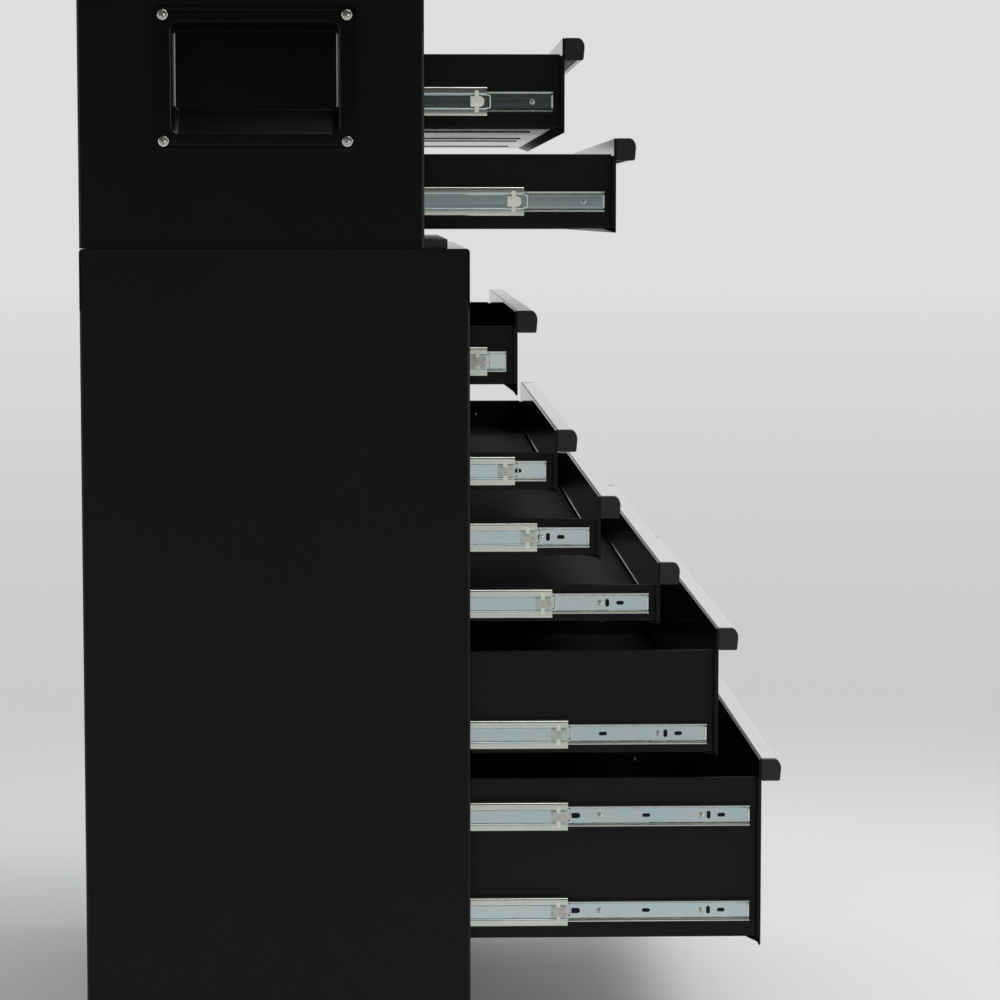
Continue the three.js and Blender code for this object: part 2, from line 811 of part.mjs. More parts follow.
// Casters: everything below the cabinet, each round its own foot on the floor
const wheelFlat = wheelRadius * Math.cos(Math.PI / wheelSteps);
const legOffset = hubWidth / 2 + wheelPlay + forkSheet / 2;

function wheel() {
  const rings = [
    [axleRadius + seatGap, hubWidth / 2],
    [hubRadius, hubWidth / 2],
    [hubRadius, wheelWeb / 2],
    [rimRadius, wheelWeb / 2],
    [rimRadius, treadWidth / 2],
    [wheelRadius - treadShoulder, treadWidth / 2],
    [wheelRadius, treadWidth / 2 - treadShoulder],
  ];
  const lower = rings.map(([r, y]) => [r, -y]);
  const profile = [...lower, ...rings.toReversed(), lower[0]];
  const points = profile.map(([r, y]) => new THREE.Vector2(r, y));
  return toSolid(new THREE.LatheGeometry(points, wheelSteps, Math.PI / wheelSteps));
}

function mountingPlate() {
  const high = casterHeight - seatGap;
  const half = [plateLength / 2, plateWidth / 2];
  const plate = prism(
    rectangle(
      half.map((v) => -v),
      half,
      plateRadius,
    ),
    "z",
    high - plateThickness,
    high,
  );
  const holes = [-1, 1].flatMap((a) =>
    [-1, 1].map((b) =>
      rod(plateHoleRadius, "z", high - overrun, high + overrun, [
        a * (half[0] - plateHoleInset),
        b * (half[1] - plateHoleInset),
        0,
      ]),
    ),
  );
  return holes.reduce((whole, hole) => whole.subtract(hole), plate);
}

// A strap folded down into two legs, trimmed to the outline of a leg, with the axle through both.
function yoke(top, outline, axleX) {
  const low = wheelFlat - legEndRadius - overrun;
  const path = [
    [-legOffset, low],
    [-legOffset, top - forkSheet / 2],
    [legOffset, top - forkSheet / 2],
    [legOffset, low],
  ];
  const reach = plateLength + swivelTrail;
  const outside = legOffset + forkSheet / 2;
  const strap = prism(folded(path, forkSheet), "x", -reach, reach);
  const legs = strap.intersect(prism(rounded(outline, cornerSteps), "y", -outside, outside));
  const centre = [axleX, 0, wheelFlat];
  const head = outside + axleHeadLength;
  return join(
    legs,
    rod(axleRadius, "y", -head, head, centre),
    rod(axleHeadRadius, "y", -head, -outside + bite, centre, nutSides),
    rod(axleHeadRadius, "y", outside - bite, head, centre, nutSides),
  );
}

function rigidBracket() {
  const top = casterHeight - seatGap - plateThickness + bite;
  const outline = [
    [-forkTopHalf, top],
    [-forkTopHalf, top - raceHeight],
    [-legEndRadius, wheelFlat - legEndRadius, legEndRadius],
    [legEndRadius, wheelFlat - legEndRadius, legEndRadius],
    [forkTopHalf, top - raceHeight],
    [forkTopHalf, top],
  ];
  return join(mountingPlate(), yoke(top, outline, 0));
}

const forkTop = casterHeight - seatGap - plateThickness - raceHeight - seatGap - cupHeight;
const pedalPivot = [swivelTrail + pedalPivotReach, forkTop - pedalPivotDrop];

function swivelPlate() {
  const low = forkTop - forkSheet - seatGap;
  const under = casterHeight - seatGap - plateThickness + bite;
  return join(
    mountingPlate(),
    rod(raceRadius, "z", under - raceHeight - bite, under, [0, 0, 0], raceSteps),
    rod(kingpinRadius, "z", low - kingpinNutHeight, under, [0, 0, 0]),
    rod(kingpinNutRadius, "z", low - kingpinNutHeight, low, [0, 0, 0], nutSides),
  );
}

function swivelFork() {
  const outline = [
    [-forkTopHalf, forkTop],
    [-forkTopHalf, forkTop - raceHeight],
    [swivelTrail - legEndRadius, wheelFlat - legEndRadius, legEndRadius],
    [swivelTrail + legEndRadius, wheelFlat - legEndRadius, legEndRadius],
    [pedalPivot[0] + earReach, pedalPivot[1] - earReach, pedalPinRadius],
    [pedalPivot[0] + earReach, forkTop],
  ];
  const outside = legOffset + overrun;
  return join(
    yoke(forkTop, outline, swivelTrail),
    rod(raceRadius, "z", forkTop - bite, forkTop + cupHeight, [0, 0, 0], raceSteps),
  )
    .subtract(rod(kingpinBoreRadius, "z", forkTop - overrun, forkTop + overrun, [0, 0, 0]))
    .subtract(rod(pedalPinRadius + seatGap, "y", -outside, outside, [pedalPivot[0], 0, pedalPivot[1]]));
}

function brakePedal() {
  const [x, z] = pedalPivot;
  const edge = x + earReach + seatGap;
  const armOutline = [
    [x - pedalBossRadius, z - pedalBossRadius, pedalPinRadius],
    [edge, z - pedalBossRadius - pedalDrop / 2],
    [edge + pedalFootLength, z - pedalBossRadius - pedalDrop],
    [edge + pedalFootLength, z - pedalBossRadius - pedalDrop + pedalThickness, pedalThickness / 2],
    [edge, z + pedalBossRadius - pedalDrop / 2],
    [x - pedalBossRadius, z + pedalBossRadius, pedalPinRadius],
  ];
  const arm = prism(rounded(armOutline, cornerSteps), "y", -pedalWidth / 2, pedalWidth / 2);
  const wide = prism(rounded(armOutline, cornerSteps), "y", -pedalFootWidth / 2, pedalFootWidth / 2);
  const footOnly = block(
    [edge + pedalThickness, -pedalFootWidth, z - overrun],
    [edge + 2 * pedalFootLength, pedalFootWidth, z + overrun],
  );
  const pin = legOffset + forkSheet / 2;
  return join(arm, wide.intersect(footOnly), rod(pedalPinRadius, "y", -pin, pin, [x, 0, z]));
}

// Locks: a keyed plug with its cam behind the header
function lockPlug(front, z) {
  const keySlot = block(
    [-keySlotWidth / 2, front - overrun, z - keySlotLength / 2],
    [keySlotWidth / 2, front - lockProud + keySlotDepth, z + keySlotLength / 2],
  );
  const rear = front + lockDepth;
  return join(
    rod(lockRadius, "y", -lockProud, lockDepth, [0, front, z], lockSteps),
    block(
      [-lockRadius / 2, rear - bite, z - lockCamWidth / 2],
      [lockCamLength, rear + lockCamThickness, z + lockCamWidth / 2],
    ),
  ).subtract(keySlot);
}

// The stack of fronts, walked downwards in each body
const chestKind = {
  faceHeight: chestFace,
  sideDrop: chestSideDrop,
  lipDrop: chestLipDrop,
  slideRises: [chestSlideRise],
};
const topKind = {
  faceHeight: topFace,
  sideDrop: topSideDrop,
  lipDrop: topLipDrop,
  slideRises: [topSlideRise],
};
const slimKind = {
  faceHeight: slimFace,
  sideDrop: slimSideDrop,
  lipDrop: slimLipDrop,
  slideRises: [slimSlideRise],
};
const deepKind = {
  faceHeight: deepFace,
  sideDrop: deepSideDrop,
  lipDrop: deepLipDrop,
  slideRises: [deepSlideRise],
};
const bottomKind = {
  faceHeight: bottomFace,
  sideDrop: bottomSideDrop,
  lipDrop: bottomLipDrop,
  slideRises: [bottomLowSlideRise, bottomHighSlideRise],
};

function stack(kinds, top, drawers, body) {
  let level = top;
  return drawers.map((state, i) => {
    const { kind, spaceBelow } = kinds[i];
    const faceTop = level;
    const faceBottom = faceTop - kind.faceHeight;
    const boxBottom = faceBottom + kind.lipDrop;
    level = faceBottom - spaceBelow;
    return {
      ...state,
      ...body,
      faceTop,
      faceBottom,
      boxBottom,
      boxTop: faceTop - kind.sideDrop,
      face: body.front - state.open,
      slideHeights: kind.slideRises.map((rise) => boxBottom + rise),
    };
  });
}

const chestPlans = stack(
  [
    { kind: chestKind, spaceBelow: chestFaceSpace },
    { kind: chestKind, spaceBelow: frameGap },
  ],
  chestStackTop,
  openDrawers.slice(0, 2),
  { front: chestFront, opening: chestOpening, boxDepth: chestBoxDepth, slotShares: [] },
);
const cabinetPlans = stack(
  [
    { kind: topKind, spaceBelow: middleRailHeight + 2 * frameGap },
    { kind: slimKind, spaceBelow: faceSpace },
    { kind: slimKind, spaceBelow: faceSpace },
    { kind: slimKind, spaceBelow: faceSpace },
    { kind: deepKind, spaceBelow: faceSpace },
    { kind: bottomKind, spaceBelow: frameGap },
  ],
  cabinetStackTop,
  openDrawers.slice(2),
  { front: 0, opening: cabinetOpening, boxDepth: cabinetBoxDepth, slotShares: cabinetSlotShares },
);

addPiece("cabinet_shell", cabinetShell(), blackSteel);
addPiece("cabinet_base", cabinetBase(), blackSteel);
addPiece("cabinet_top_mat", topMat(), blackRubber);
addPiece("chest_shell", chestShell(), blackSteel);
addPiece("chest_lid", chestLid(), blackSteel);
addPiece(
  "lid_hinge_pin",
  rod(hingePinRadius, "x", -hingeLength / 2, hingeLength / 2, [0, hingeY, hingeZ]),
  zincSteel,
);
addPiece("cabinet_lock_plug", lockPlug(0, cabinetLockZ), lockChrome);
addPiece("chest_lock_plug", lockPlug(chestFront, chestLockZ), lockChrome);

for (const { name, sign } of sides) {
  addPiece(`side_grip_${name}`, sideGrip(sign), blackSteel);
  addPiece(
    `cabinet_slide_rack_${name}`,
    slideRack(sign, cabinetWidth / 2, cabinetOpening, 0, cabinetPlans),
    galvanised,
  );
  addPiece(
    `chest_slide_rack_${name}`,
    slideRack(sign, chestWidth / 2, chestOpening, chestFront, chestPlans),
    galvanised,
  );
}

for (const plan of [...chestPlans, ...cabinetPlans]) {
  addPiece(plan.name, drawer(plan), drawerSteel);
  addPiece(`${plan.name}_pull`, drawerPull(plan), pullAlloy);
  const travelled = plan.open * plan.carriageShare;
  for (const { name, sign } of sides) {
    plan.slideHeights.forEach((z, i) => {
      const level = plan.slideHeights.length > 1 ? ["_low", "_high"][i] : "";
      const carriage = carriageSection(sign, plan.opening, z, plan.front, travelled);
      addPiece(`${plan.name}_carriage_${name}${level}`, carriage, zincSteel);
    });
  }
}

const casterRows = [
  { name: "front", y: casterEndInset },
  { name: "rear", y: cabinetDepth - casterEndInset },
];
for (const { name, y } of casterRows) {
  const rigid = [casterSideInset - cabinetWidth / 2, y, 0];
  addPiece(`rigid_caster_${name}_bracket`, rigidBracket(), zincSteel, rigid);
  addPiece(`rigid_caster_${name}_wheel`, wheel(), tyreRubber, [rigid[0], y, wheelFlat]);
  const swivel = [cabinetWidth / 2 - casterSideInset, y, 0];
  addPiece(`swivel_caster_${name}_plate`, swivelPlate(), zincSteel, swivel);
  addPiece(`swivel_caster_${name}_fork`, swivelFork(), zincSteel, swivel, Math.PI);
  addPiece(`swivel_caster_${name}_wheel`, wheel(), tyreRubber, [swivel[0] - swivelTrail, y, wheelFlat]);
  addPiece(`swivel_caster_${name}_brake_pedal`, brakePedal(), pedalPlastic, swivel, Math.PI);
}

// The origin lies on the floor under the middle of the whole, open drawers and hinge included
const whole = new THREE.Box3().setFromObject(part);
part.position.y = -(whole.min.y + whole.max.y) / 2;

export default part;
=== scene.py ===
import bpy
import bmesh
import math
from mathutils import Matrix, Vector


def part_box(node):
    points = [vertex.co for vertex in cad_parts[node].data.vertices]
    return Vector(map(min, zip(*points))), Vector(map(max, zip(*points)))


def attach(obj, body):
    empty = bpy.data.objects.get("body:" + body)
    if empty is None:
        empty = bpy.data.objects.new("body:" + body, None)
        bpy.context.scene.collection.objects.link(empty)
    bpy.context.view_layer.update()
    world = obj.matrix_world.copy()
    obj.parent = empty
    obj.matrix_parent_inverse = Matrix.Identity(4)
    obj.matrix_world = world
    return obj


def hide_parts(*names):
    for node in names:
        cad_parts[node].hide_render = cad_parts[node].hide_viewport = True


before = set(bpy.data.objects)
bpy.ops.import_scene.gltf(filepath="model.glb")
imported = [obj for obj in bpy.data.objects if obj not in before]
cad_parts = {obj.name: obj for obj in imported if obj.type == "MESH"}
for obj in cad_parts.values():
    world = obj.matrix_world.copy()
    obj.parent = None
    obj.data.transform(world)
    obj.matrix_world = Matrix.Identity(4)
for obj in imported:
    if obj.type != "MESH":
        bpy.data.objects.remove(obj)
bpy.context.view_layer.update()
print("frame loaded:", len(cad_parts), "nodes")

scene = bpy.context.scene
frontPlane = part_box("cabinet_shell")[0].y * 1000  # the cabinet's front, in millimetres
leftRight = ((-1, "left"), (1, "right"))
filletLimit = 0.48  # the share of a side that one fillet may take
flatsWeight = 80  # how far the wide faces decide the normals beside them


def rounded(corners, usualSteps=4):
    # fillets the corners (a, b, radius, steps) of a polygon
    points = []
    count = len(corners)
    for i, corner in enumerate(corners):
        a, b = corner[0], corner[1]
        radius = corner[2] if len(corner) > 2 else 0
        steps = corner[3] if len(corner) > 3 else usualSteps
        if not radius or not steps:
            points.append((a, b))
            continue
        here = Vector((a, b))
        before = Vector(corners[i - 1][:2]) - here
        after = Vector(corners[(i + 1) % count][:2]) - here
        half = before.angle(after) / 2
        reach = min(radius / math.tan(half), filletLimit * min(before.length, after.length))
        fitted = reach * math.tan(half)
        before.normalize()
        after.normalize()
        centre = here + (before + after).normalized() * (fitted / math.sin(half))
        start = here + before * reach - centre
        end = here + after * reach - centre
        first = math.atan2(start.y, start.x)
        turn = math.atan2(end.y, end.x) - first
        turn = math.atan2(math.sin(turn), math.cos(turn))
        for k in range(steps + 1):
            angle = first + turn * k / steps
            points.append((centre.x + fitted * math.cos(angle), centre.y + fitted * math.sin(angle)))
    return points


def folded(path, thickness, steps=4, radius=1.5):
    # the outline of a sheet folded along a path of (a, b, inside radius, steps)
    left, right = [], []
    last = len(path) - 1
    for i, point in enumerate(path):
        here = Vector(point[:2])
        before, after = max(i, 1), min(i, last - 1)
        inward = (Vector(path[before][:2]) - Vector(path[before - 1][:2])).normalized()
        outward = (Vector(path[after + 1][:2]) - Vector(path[after][:2])).normalized()
        across = Vector((-inward.y - outward.y, inward.x + outward.x))
        mitre = thickness / 2 / (1 + inward.dot(outward))
        turn = inward.x * outward.y - inward.y * outward.x
        own = point[3] if len(point) > 3 else steps
        sharp = i in (0, last) or own == 0
        inner = 0 if sharp else (point[2] if len(point) > 2 else radius)
        outer = 0 if sharp else inner + thickness
        radii = (inner, outer) if turn > 0 else (outer, inner)
        left.append((here.x + across.x * mitre, here.y + across.y * mitre, radii[0], own))
        right.append((here.x - across.x * mitre, here.y - across.y * mitre, radii[1], own))
    return rounded(left + right[::-1], steps)


def rectangle(low, high, radius=0, steps=4):
    corners = ((low[0], low[1]), (high[0], low[1]), (high[0], high[1]), (low[0], high[1]))
    return rounded([(a, b, radius) for a, b in corners], steps)


def placed(point, axis, along):
    a, b = point
    return {"x": (along, a, b), "y": (a, along, b), "z": (a, b, along)}[axis]


def addWall(bm, one, two):
    # quads between two loops of vertices with the same count
    count = len(one)
    return [bm.faces.new((one[i], one[(i + 1) % count], two[(i + 1) % count], two[i])) for i in range(count)]


def addPrism(bm, outline, axis, low, high, finish=0):
    loops = [[bm.verts.new(placed(point, axis, at)) for point in outline] for at in (low, high)]
    faces = [bm.faces.new(loops[0]), bm.faces.new(loops[1][::-1])]
    faces += addWall(bm, *loops)
    for face in faces:
        face.material_index = finish
    return faces


def addBlock(bm, low, high, finish=0):
    return addPrism(bm, rectangle(low[:2], high[:2]), "z", low[2], high[2], finish)


def addLoft(bm, rings, closed=False):
    # a skin through rings of points with the same count, capped at both ends unless it is closed on itself
    loops = [[bm.verts.new(point) for point in ring] for ring in rings]
    faces = []
    for one, two in zip(loops, loops[1:] + ([loops[0]] if closed else [])):
        faces += addWall(bm, one, two)
    if not closed:
        faces += [bm.faces.new(loops[0]), bm.faces.new(loops[-1][::-1])]
    return faces


def addLathe(bm, profile, axis, centre, steps):
    # a closed profile of (radius, along) turned round an axis through centre
    rings = []
    for k in range(steps):
        angle = 2 * math.pi * k / steps
        a, b = math.cos(angle), math.sin(angle)
        offsets = [placed((radius * a, radius * b), axis, along) for radius, along in profile]
        rings.append([[centre[i] + offset[i] for i in range(3)] for offset in offsets])
    return addLoft(bm, rings, closed=True)


def softenEdges(bm, width, segments=3, angle=50, faces=None):
    chosen = bm.edges if faces is None else {edge for face in faces for edge in face.edges}
    sharp = [e for e in chosen if len(e.link_faces) == 2 and math.degrees(e.calc_face_angle(0)) > angle]
    choices = {"profile": 0.5, "affect": "EDGES", "clamp_overlap": True}
    bmesh.ops.bevel(bm, geom=sharp, offset=width, segments=segments, **choices)


def addObject(name, data):
    made = bpy.data.objects.new(name, data)
    scene.collection.objects.link(made)
    return made


def bakedMesh(piece):
    # the mesh that the piece's modifiers give
    return bpy.data.meshes.new_from_object(piece.evaluated_get(bpy.context.evaluated_depsgraph_get()))


def meshFrom(bm, name):
    mesh = bpy.data.meshes.new(name)
    bm.to_mesh(mesh)
    bm.free()
    return mesh


def finishPiece(name, bm, finishes, body, nodes=(), sharpAngle=35):
    # millimetres from the cabinet's front become metres in the frame
    toFrame = Matrix.Scale(0.001, 4) @ Matrix.Translation((0, frontPlane, 0))
    bmesh.ops.recalc_face_normals(bm, faces=bm.faces)
    bmesh.ops.transform(bm, matrix=toFrame, verts=bm.verts)
    mesh = meshFrom(bm, name)
    mesh.shade_smooth()
    mesh.set_sharp_from_angle(angle=math.radians(sharpAngle))
    for finish in finishes:
        mesh.materials.append(finish)
    piece = addObject(name, mesh)
    # the wide faces decide the normals, so that flats stay flat beside their bends
    modifier = piece.modifiers.new("flats", "WEIGHTED_NORMAL")
    modifier.keep_sharp = True
    modifier.weight = flatsWeight
    evened = bakedMesh(piece)
    piece.modifiers.clear()
    piece.data = evened
    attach(piece, body)
    if nodes:
        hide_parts(*nodes)


def millimetres(node):
    # a CAD node's corners in millimetres, measured back from the cabinet's front
    shift = (0, frontPlane, 0)
    low, high = [[value * 1000 - shift[i] for i, value in enumerate(corner)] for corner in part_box(node)]
    return low, high


# node trees
def startTree(name, kind, inputs, outputs):
    # a tree with named inputs (label, kind, value) and outputs (label, kind)
    tree = bpy.data.node_groups.new(name, kind)
    for label, socketKind, value in inputs:
        socket = tree.interface.new_socket(label, in_out="INPUT", socket_type="NodeSocket" + socketKind)
        if value is not None:
            socket.default_value = value
    for label, socketKind in outputs:
        tree.interface.new_socket(label, in_out="OUTPUT", socket_type="NodeSocket" + socketKind)
    return tree, tree.nodes.new("NodeGroupInput"), tree.nodes.new("NodeGroupOutput")


def addNode(tree, kind, inputs=None, **values):
    node = tree.nodes.new(kind)
    for key, value in values.items():
        setattr(node, key, value)
    for key, value in (inputs or {}).items():
        if isinstance(value, bpy.types.NodeSocket):
            tree.links.new(value, node.inputs[key])
        else:
            node.inputs[key].default_value = value
    return node


def calculate(tree, operation, one, two):
    return addNode(tree, "ShaderNodeMath", {0: one, 1: two}, operation=operation).outputs[0]


def vectorOf(tree, x, y, z):
    return addNode(tree, "ShaderNodeCombineXYZ", {"X": x, "Y": y, "Z": z}).outputs[0]


def remap(tree, value, low, high, toLow=0, toHigh=1):
    ends = {"Value": value, "From Min": low, "From Max": high, "To Min": toLow, "To Max": toHigh}
    return addNode(tree, "ShaderNodeMapRange", ends).outputs["Result"]


def addNoise(tree, vector, scale, detail, roughness=0.5):
    values = {"Vector": vector, "Scale": scale, "Detail": detail, "Roughness": roughness}
    return addNode(tree, "ShaderNodeTexNoise", values).outputs["Fac"]


def objectPlace(tree):
    return addNode(tree, "ShaderNodeTexCoord").outputs["Object"]


# shader groups that several finishes share
def grainGroup():
    # fine orange-peel height and slow cloudy variation, for coats and moulded plastic
    inputs = [("Scale", "Float", 900.0), ("Cloud Scale", "Float", 6.0)]
    outputs = [("Height", "Float"), ("Cloud", "Float")]
    group, source, result = startTree("surfaceGrain", "ShaderNodeTree", inputs, outputs)
    place = objectPlace(group)
    fine = addNoise(group, place, source.outputs["Scale"], detail=2)
    slow = addNoise(group, place, source.outputs["Cloud Scale"], detail=4, roughness=0.6)
    group.links.new(fine, result.inputs["Height"])
    group.links.new(slow, result.inputs["Cloud"])
    return group


def drawnGroup():
    # long streaks along Y, as rolling and drawing leave them in sheet metal
    inputs = [("Length", "Float", 4.0), ("Fineness", "Float", 700.0)]
    outputs = [("Streak", "Float"), ("Band", "Float")]
    group, source, result = startTree("drawnStreaks", "ShaderNodeTree", inputs, outputs)
    place = objectPlace(group)
    parts = addNode(group, "ShaderNodeSeparateXYZ", {"Vector": place})
    sizes = {"X": "Fineness", "Y": "Length", "Z": "Fineness"}
    scaled = []
    for axis, size in sizes.items():
        scaled.append(calculate(group, "MULTIPLY", parts.outputs[axis], source.outputs[size]))
    streak = addNoise(group, vectorOf(group, *scaled), scale=1, detail=3)
    band = addNoise(group, place, scale=23, detail=5, roughness=0.65)
    group.links.new(streak, result.inputs["Streak"])
    group.links.new(band, result.inputs["Band"])
    return group


surfaceGrain = grainGroup()
drawnStreaks = drawnGroup()

# which part of each noise the tones and the roughness run over
noiseRanges = {
    "cloudTone": (0.3, 0.7), "cloudShine": (0.25, 0.75), "bandTone": (0.35, 0.7), "streakShine": (0.3, 0.7),
}
streakDepth = 0.0002


def startMaterial(name):
    material = bpy.data.materials.new(name)
    material.use_nodes = True
    tree = material.node_tree
    tree.nodes.clear()
    shader = tree.nodes.new("ShaderNodeBsdfPrincipled")
    output = tree.nodes.new("ShaderNodeOutputMaterial")
    tree.links.new(shader.outputs[0], output.inputs["Surface"])
    return material, tree, shader


def mixColours(tree, factor, one, two):
    node = addNode(tree, "ShaderNodeMix", data_type="RGBA")
    tree.links.new(factor, node.inputs["Factor"])
    node.inputs["A"].default_value = (*one, 1)
    node.inputs["B"].default_value = (*two, 1)
    return node.outputs["Result"]


def linkLook(tree, shader, colour, roughness, height, strength, distance):
    bump = addNode(tree, "ShaderNodeBump", {"Height": height, "Strength": strength, "Distance": distance})
    tree.links.new(colour, shader.inputs["Base Color"])
    tree.links.new(roughness, shader.inputs["Roughness"])
    tree.links.new(bump.outputs[0], shader.inputs["Normal"])


def grainyMaterial(name, look):
    material, tree, shader = startMaterial(name)
    sizes = {"Scale": look["grain"], "Cloud Scale": look["cloud"]}
    grain = addNode(tree, "ShaderNodeGroup", sizes, node_tree=surfaceGrain)
    cloud = grain.outputs["Cloud"]
    tone = remap(tree, cloud, *noiseRanges["cloudTone"])
    colour = mixColours(tree, tone, look["dark"], look["pale"])
    roughness = remap(tree, cloud, *noiseRanges["cloudShine"], *look["roughness"])
    linkLook(tree, shader, colour, roughness, grain.outputs["Height"], look["bump"], look["depth"])
    shader.inputs["Specular IOR Level"].default_value = look["specular"]
    shader.inputs["Coat Weight"].default_value = look.get("coat", 0)
    shader.inputs["Coat Roughness"].default_value = look.get("coatRoughness", 0.1)
    return material


def drawnMaterial(name, look):
    material, tree, shader = startMaterial(name)
    sizes = {"Length": look["length"], "Fineness": look["fineness"]}
    drawn = addNode(tree, "ShaderNodeGroup", sizes, node_tree=drawnStreaks)
    tint = remap(tree, drawn.outputs["Band"], *noiseRanges["bandTone"])
    colour = mixColours(tree, tint, look["base"], look["tint"])
    streak = drawn.outputs["Streak"]
    roughness = remap(tree, streak, *noiseRanges["streakShine"], *look["roughness"])
    linkLook(tree, shader, colour, roughness, streak, look["bump"], streakDepth)
    shader.inputs["Metallic"].default_value = look["metallic"]
    return material


coatLooks = {
    "cabinetCoat": {
        "dark": (0.0040, 0.0040, 0.0036), "pale": (0.0055, 0.0055, 0.0048), "grain": 1400, "cloud": 2.2,
        "roughness": (0.38, 0.48), "bump": 0.1, "depth": 0.0002, "specular": 0.14,
    },
    "cabinetTop": {
        "dark": (0.0040, 0.0040, 0.0036), "pale": (0.0055, 0.0055, 0.0048), "grain": 1400, "cloud": 2.2,
        "roughness": (0.07, 0.11), "bump": 0.01, "depth": 0.0001, "specular": 0.5,
    },
    "chestCoat": {
        "dark": (0.0026, 0.0026, 0.0025), "pale": (0.0036, 0.0036, 0.0034), "grain": 1400, "cloud": 2.6,
        "roughness": (0.36, 0.46), "bump": 0.08, "depth": 0.0002, "specular": 0.14,
    },
    "gripCoat": {
        "dark": (0.0024, 0.0024, 0.0023), "pale": (0.0034, 0.0034, 0.0032), "grain": 1400, "cloud": 5,
        "roughness": (0.2, 0.26), "bump": 0.02, "depth": 0.0001, "specular": 0.16,
    },
    "gripBend": {
        "dark": (0.0024, 0.0024, 0.0023), "pale": (0.0034, 0.0034, 0.0032), "grain": 1400, "cloud": 5,
        "roughness": (0.08, 0.12), "bump": 0.005, "depth": 0.0001, "specular": 1.0, "coat": 1.0,
        "coatRoughness": 0.08,
    },
    "drawerCoat": {
        "dark": (0.0046, 0.0046, 0.0046), "pale": (0.0066, 0.0066, 0.0064), "grain": 1500, "cloud": 3.5,
        "roughness": (0.28, 0.38), "bump": 0.06, "depth": 0.00015, "specular": 0.16,
    },
    # a paler copy of the drawer coat for the drawers' insides: painted light, lifting the shade within them
    "insidePaintedLight": {
        "dark": (0.0150, 0.0150, 0.0147), "pale": (0.0190, 0.0190, 0.0183), "grain": 1500, "cloud": 3.0,
        "roughness": (0.5, 0.6), "bump": 0.1, "depth": 0.0002, "specular": 0.02,
    },
    "underCoat": {
        "dark": (0.0040, 0.0040, 0.0040), "pale": (0.0056, 0.0056, 0.0055), "grain": 1500, "cloud": 3.0,
        "roughness": (0.08, 0.14), "bump": 0.01, "depth": 0.0001, "specular": 0.5,
    },
    "capPlastic": {
        "dark": (0.0070, 0.0070, 0.0074), "pale": (0.0105, 0.0105, 0.0110), "grain": 2600, "cloud": 30,
        "roughness": (0.3, 0.4), "bump": 0.2, "depth": 0.0002, "specular": 0.4,
    },
    "latchPlastic": {
        "dark": (0.76, 0.75, 0.66), "pale": (0.88, 0.87, 0.78), "grain": 1500, "cloud": 60,
        "roughness": (0.35, 0.45), "bump": 0.1, "depth": 0.0001, "specular": 0.5,
    },
    "latchGrey": {
        "dark": (0.40, 0.41, 0.36), "pale": (0.66, 0.66, 0.58), "grain": 1500, "cloud": 160,
        "roughness": (0.3, 0.5), "bump": 0.2, "depth": 0.0002, "specular": 0.5,
    },
    "matRubber": {
        "dark": (0.010, 0.010, 0.010), "pale": (0.017, 0.017, 0.017), "grain": 1800, "cloud": 12,
        "roughness": (0.15, 0.22), "bump": 0.02, "depth": 0.0002, "specular": 0.45,
    },
    "tyreRubber": {
        "dark": (0.022, 0.022, 0.022), "pale": (0.034, 0.034, 0.033), "grain": 1200, "cloud": 25,
        "roughness": (0.55, 0.7), "bump": 0.25, "depth": 0.0003, "specular": 0.35,
    },
    "wheelHub": {
        "dark": (0.05, 0.05, 0.053), "pale": (0.07, 0.07, 0.073), "grain": 1500, "cloud": 40,
        "roughness": (0.4, 0.5), "bump": 0.15, "depth": 0.0002, "specular": 0.4,
    },
    "pedalPlastic": {
        "dark": (0.30, 0.018, 0.014), "pale": (0.38, 0.026, 0.02), "grain": 1500, "cloud": 30,
        "roughness": (0.38, 0.48), "bump": 0.15, "depth": 0.0002, "specular": 0.45,
    },
}
metalLooks = {
    "zincPlate": {
        "base": (0.51, 0.64, 0.66), "tint": (0.58, 0.65, 0.62), "length": 2.5, "fineness": 420,
        "roughness": (0.07, 0.14), "bump": 0.05, "metallic": 0.95,
    },
    "zincBand": {
        "base": (0.62, 0.66, 0.59), "tint": (0.69, 0.70, 0.62), "length": 2.5, "fineness": 420,
        "roughness": (0.12, 0.22), "bump": 0.08, "metallic": 0.9,
    },
    # near-white, half-matte zinc for the stop lugs: a painted highlight on the bent zinc tab
    "lugPaintedHighlight": {
        "base": (0.86, 0.85, 0.78), "tint": (0.92, 0.91, 0.85), "length": 60, "fineness": 200,
        "roughness": (0.3, 0.4), "bump": 0.05, "metallic": 0.35,
    },
    "rackSteel": {
        "base": (0.44, 0.47, 0.48), "tint": (0.52, 0.53, 0.52), "length": 30, "fineness": 60,
        "roughness": (0.38, 0.55), "bump": 0.08, "metallic": 0.85,
    },
    "casterZinc": {
        "base": (0.52, 0.54, 0.55), "tint": (0.60, 0.59, 0.54), "length": 20, "fineness": 90,
        "roughness": (0.3, 0.45), "bump": 0.08, "metallic": 0.9,
    },
    "screwZinc": {
        "base": (0.62, 0.64, 0.64), "tint": (0.70, 0.68, 0.60), "length": 120, "fineness": 400,
        "roughness": (0.2, 0.34), "bump": 0.1, "metallic": 0.95,
    },
    "pullAlloy": {
        "base": (0.80, 0.81, 0.82), "tint": (0.86, 0.86, 0.86), "length": 3, "fineness": 900,
        "roughness": (0.16, 0.24), "bump": 0.03, "metallic": 0.9,
    },
    "lockChrome": {
        "base": (0.72, 0.73, 0.74), "tint": (0.78, 0.78, 0.78), "length": 60, "fineness": 300,
        "roughness": (0.08, 0.16), "bump": 0.03, "metallic": 1.0,
    },
}
coats = {name: grainyMaterial(name, look) for name, look in coatLooks.items()}
metals = {name: drawnMaterial(name, look) for name, look in metalLooks.items()}
print("materials made:", len(coats) + len(metals))


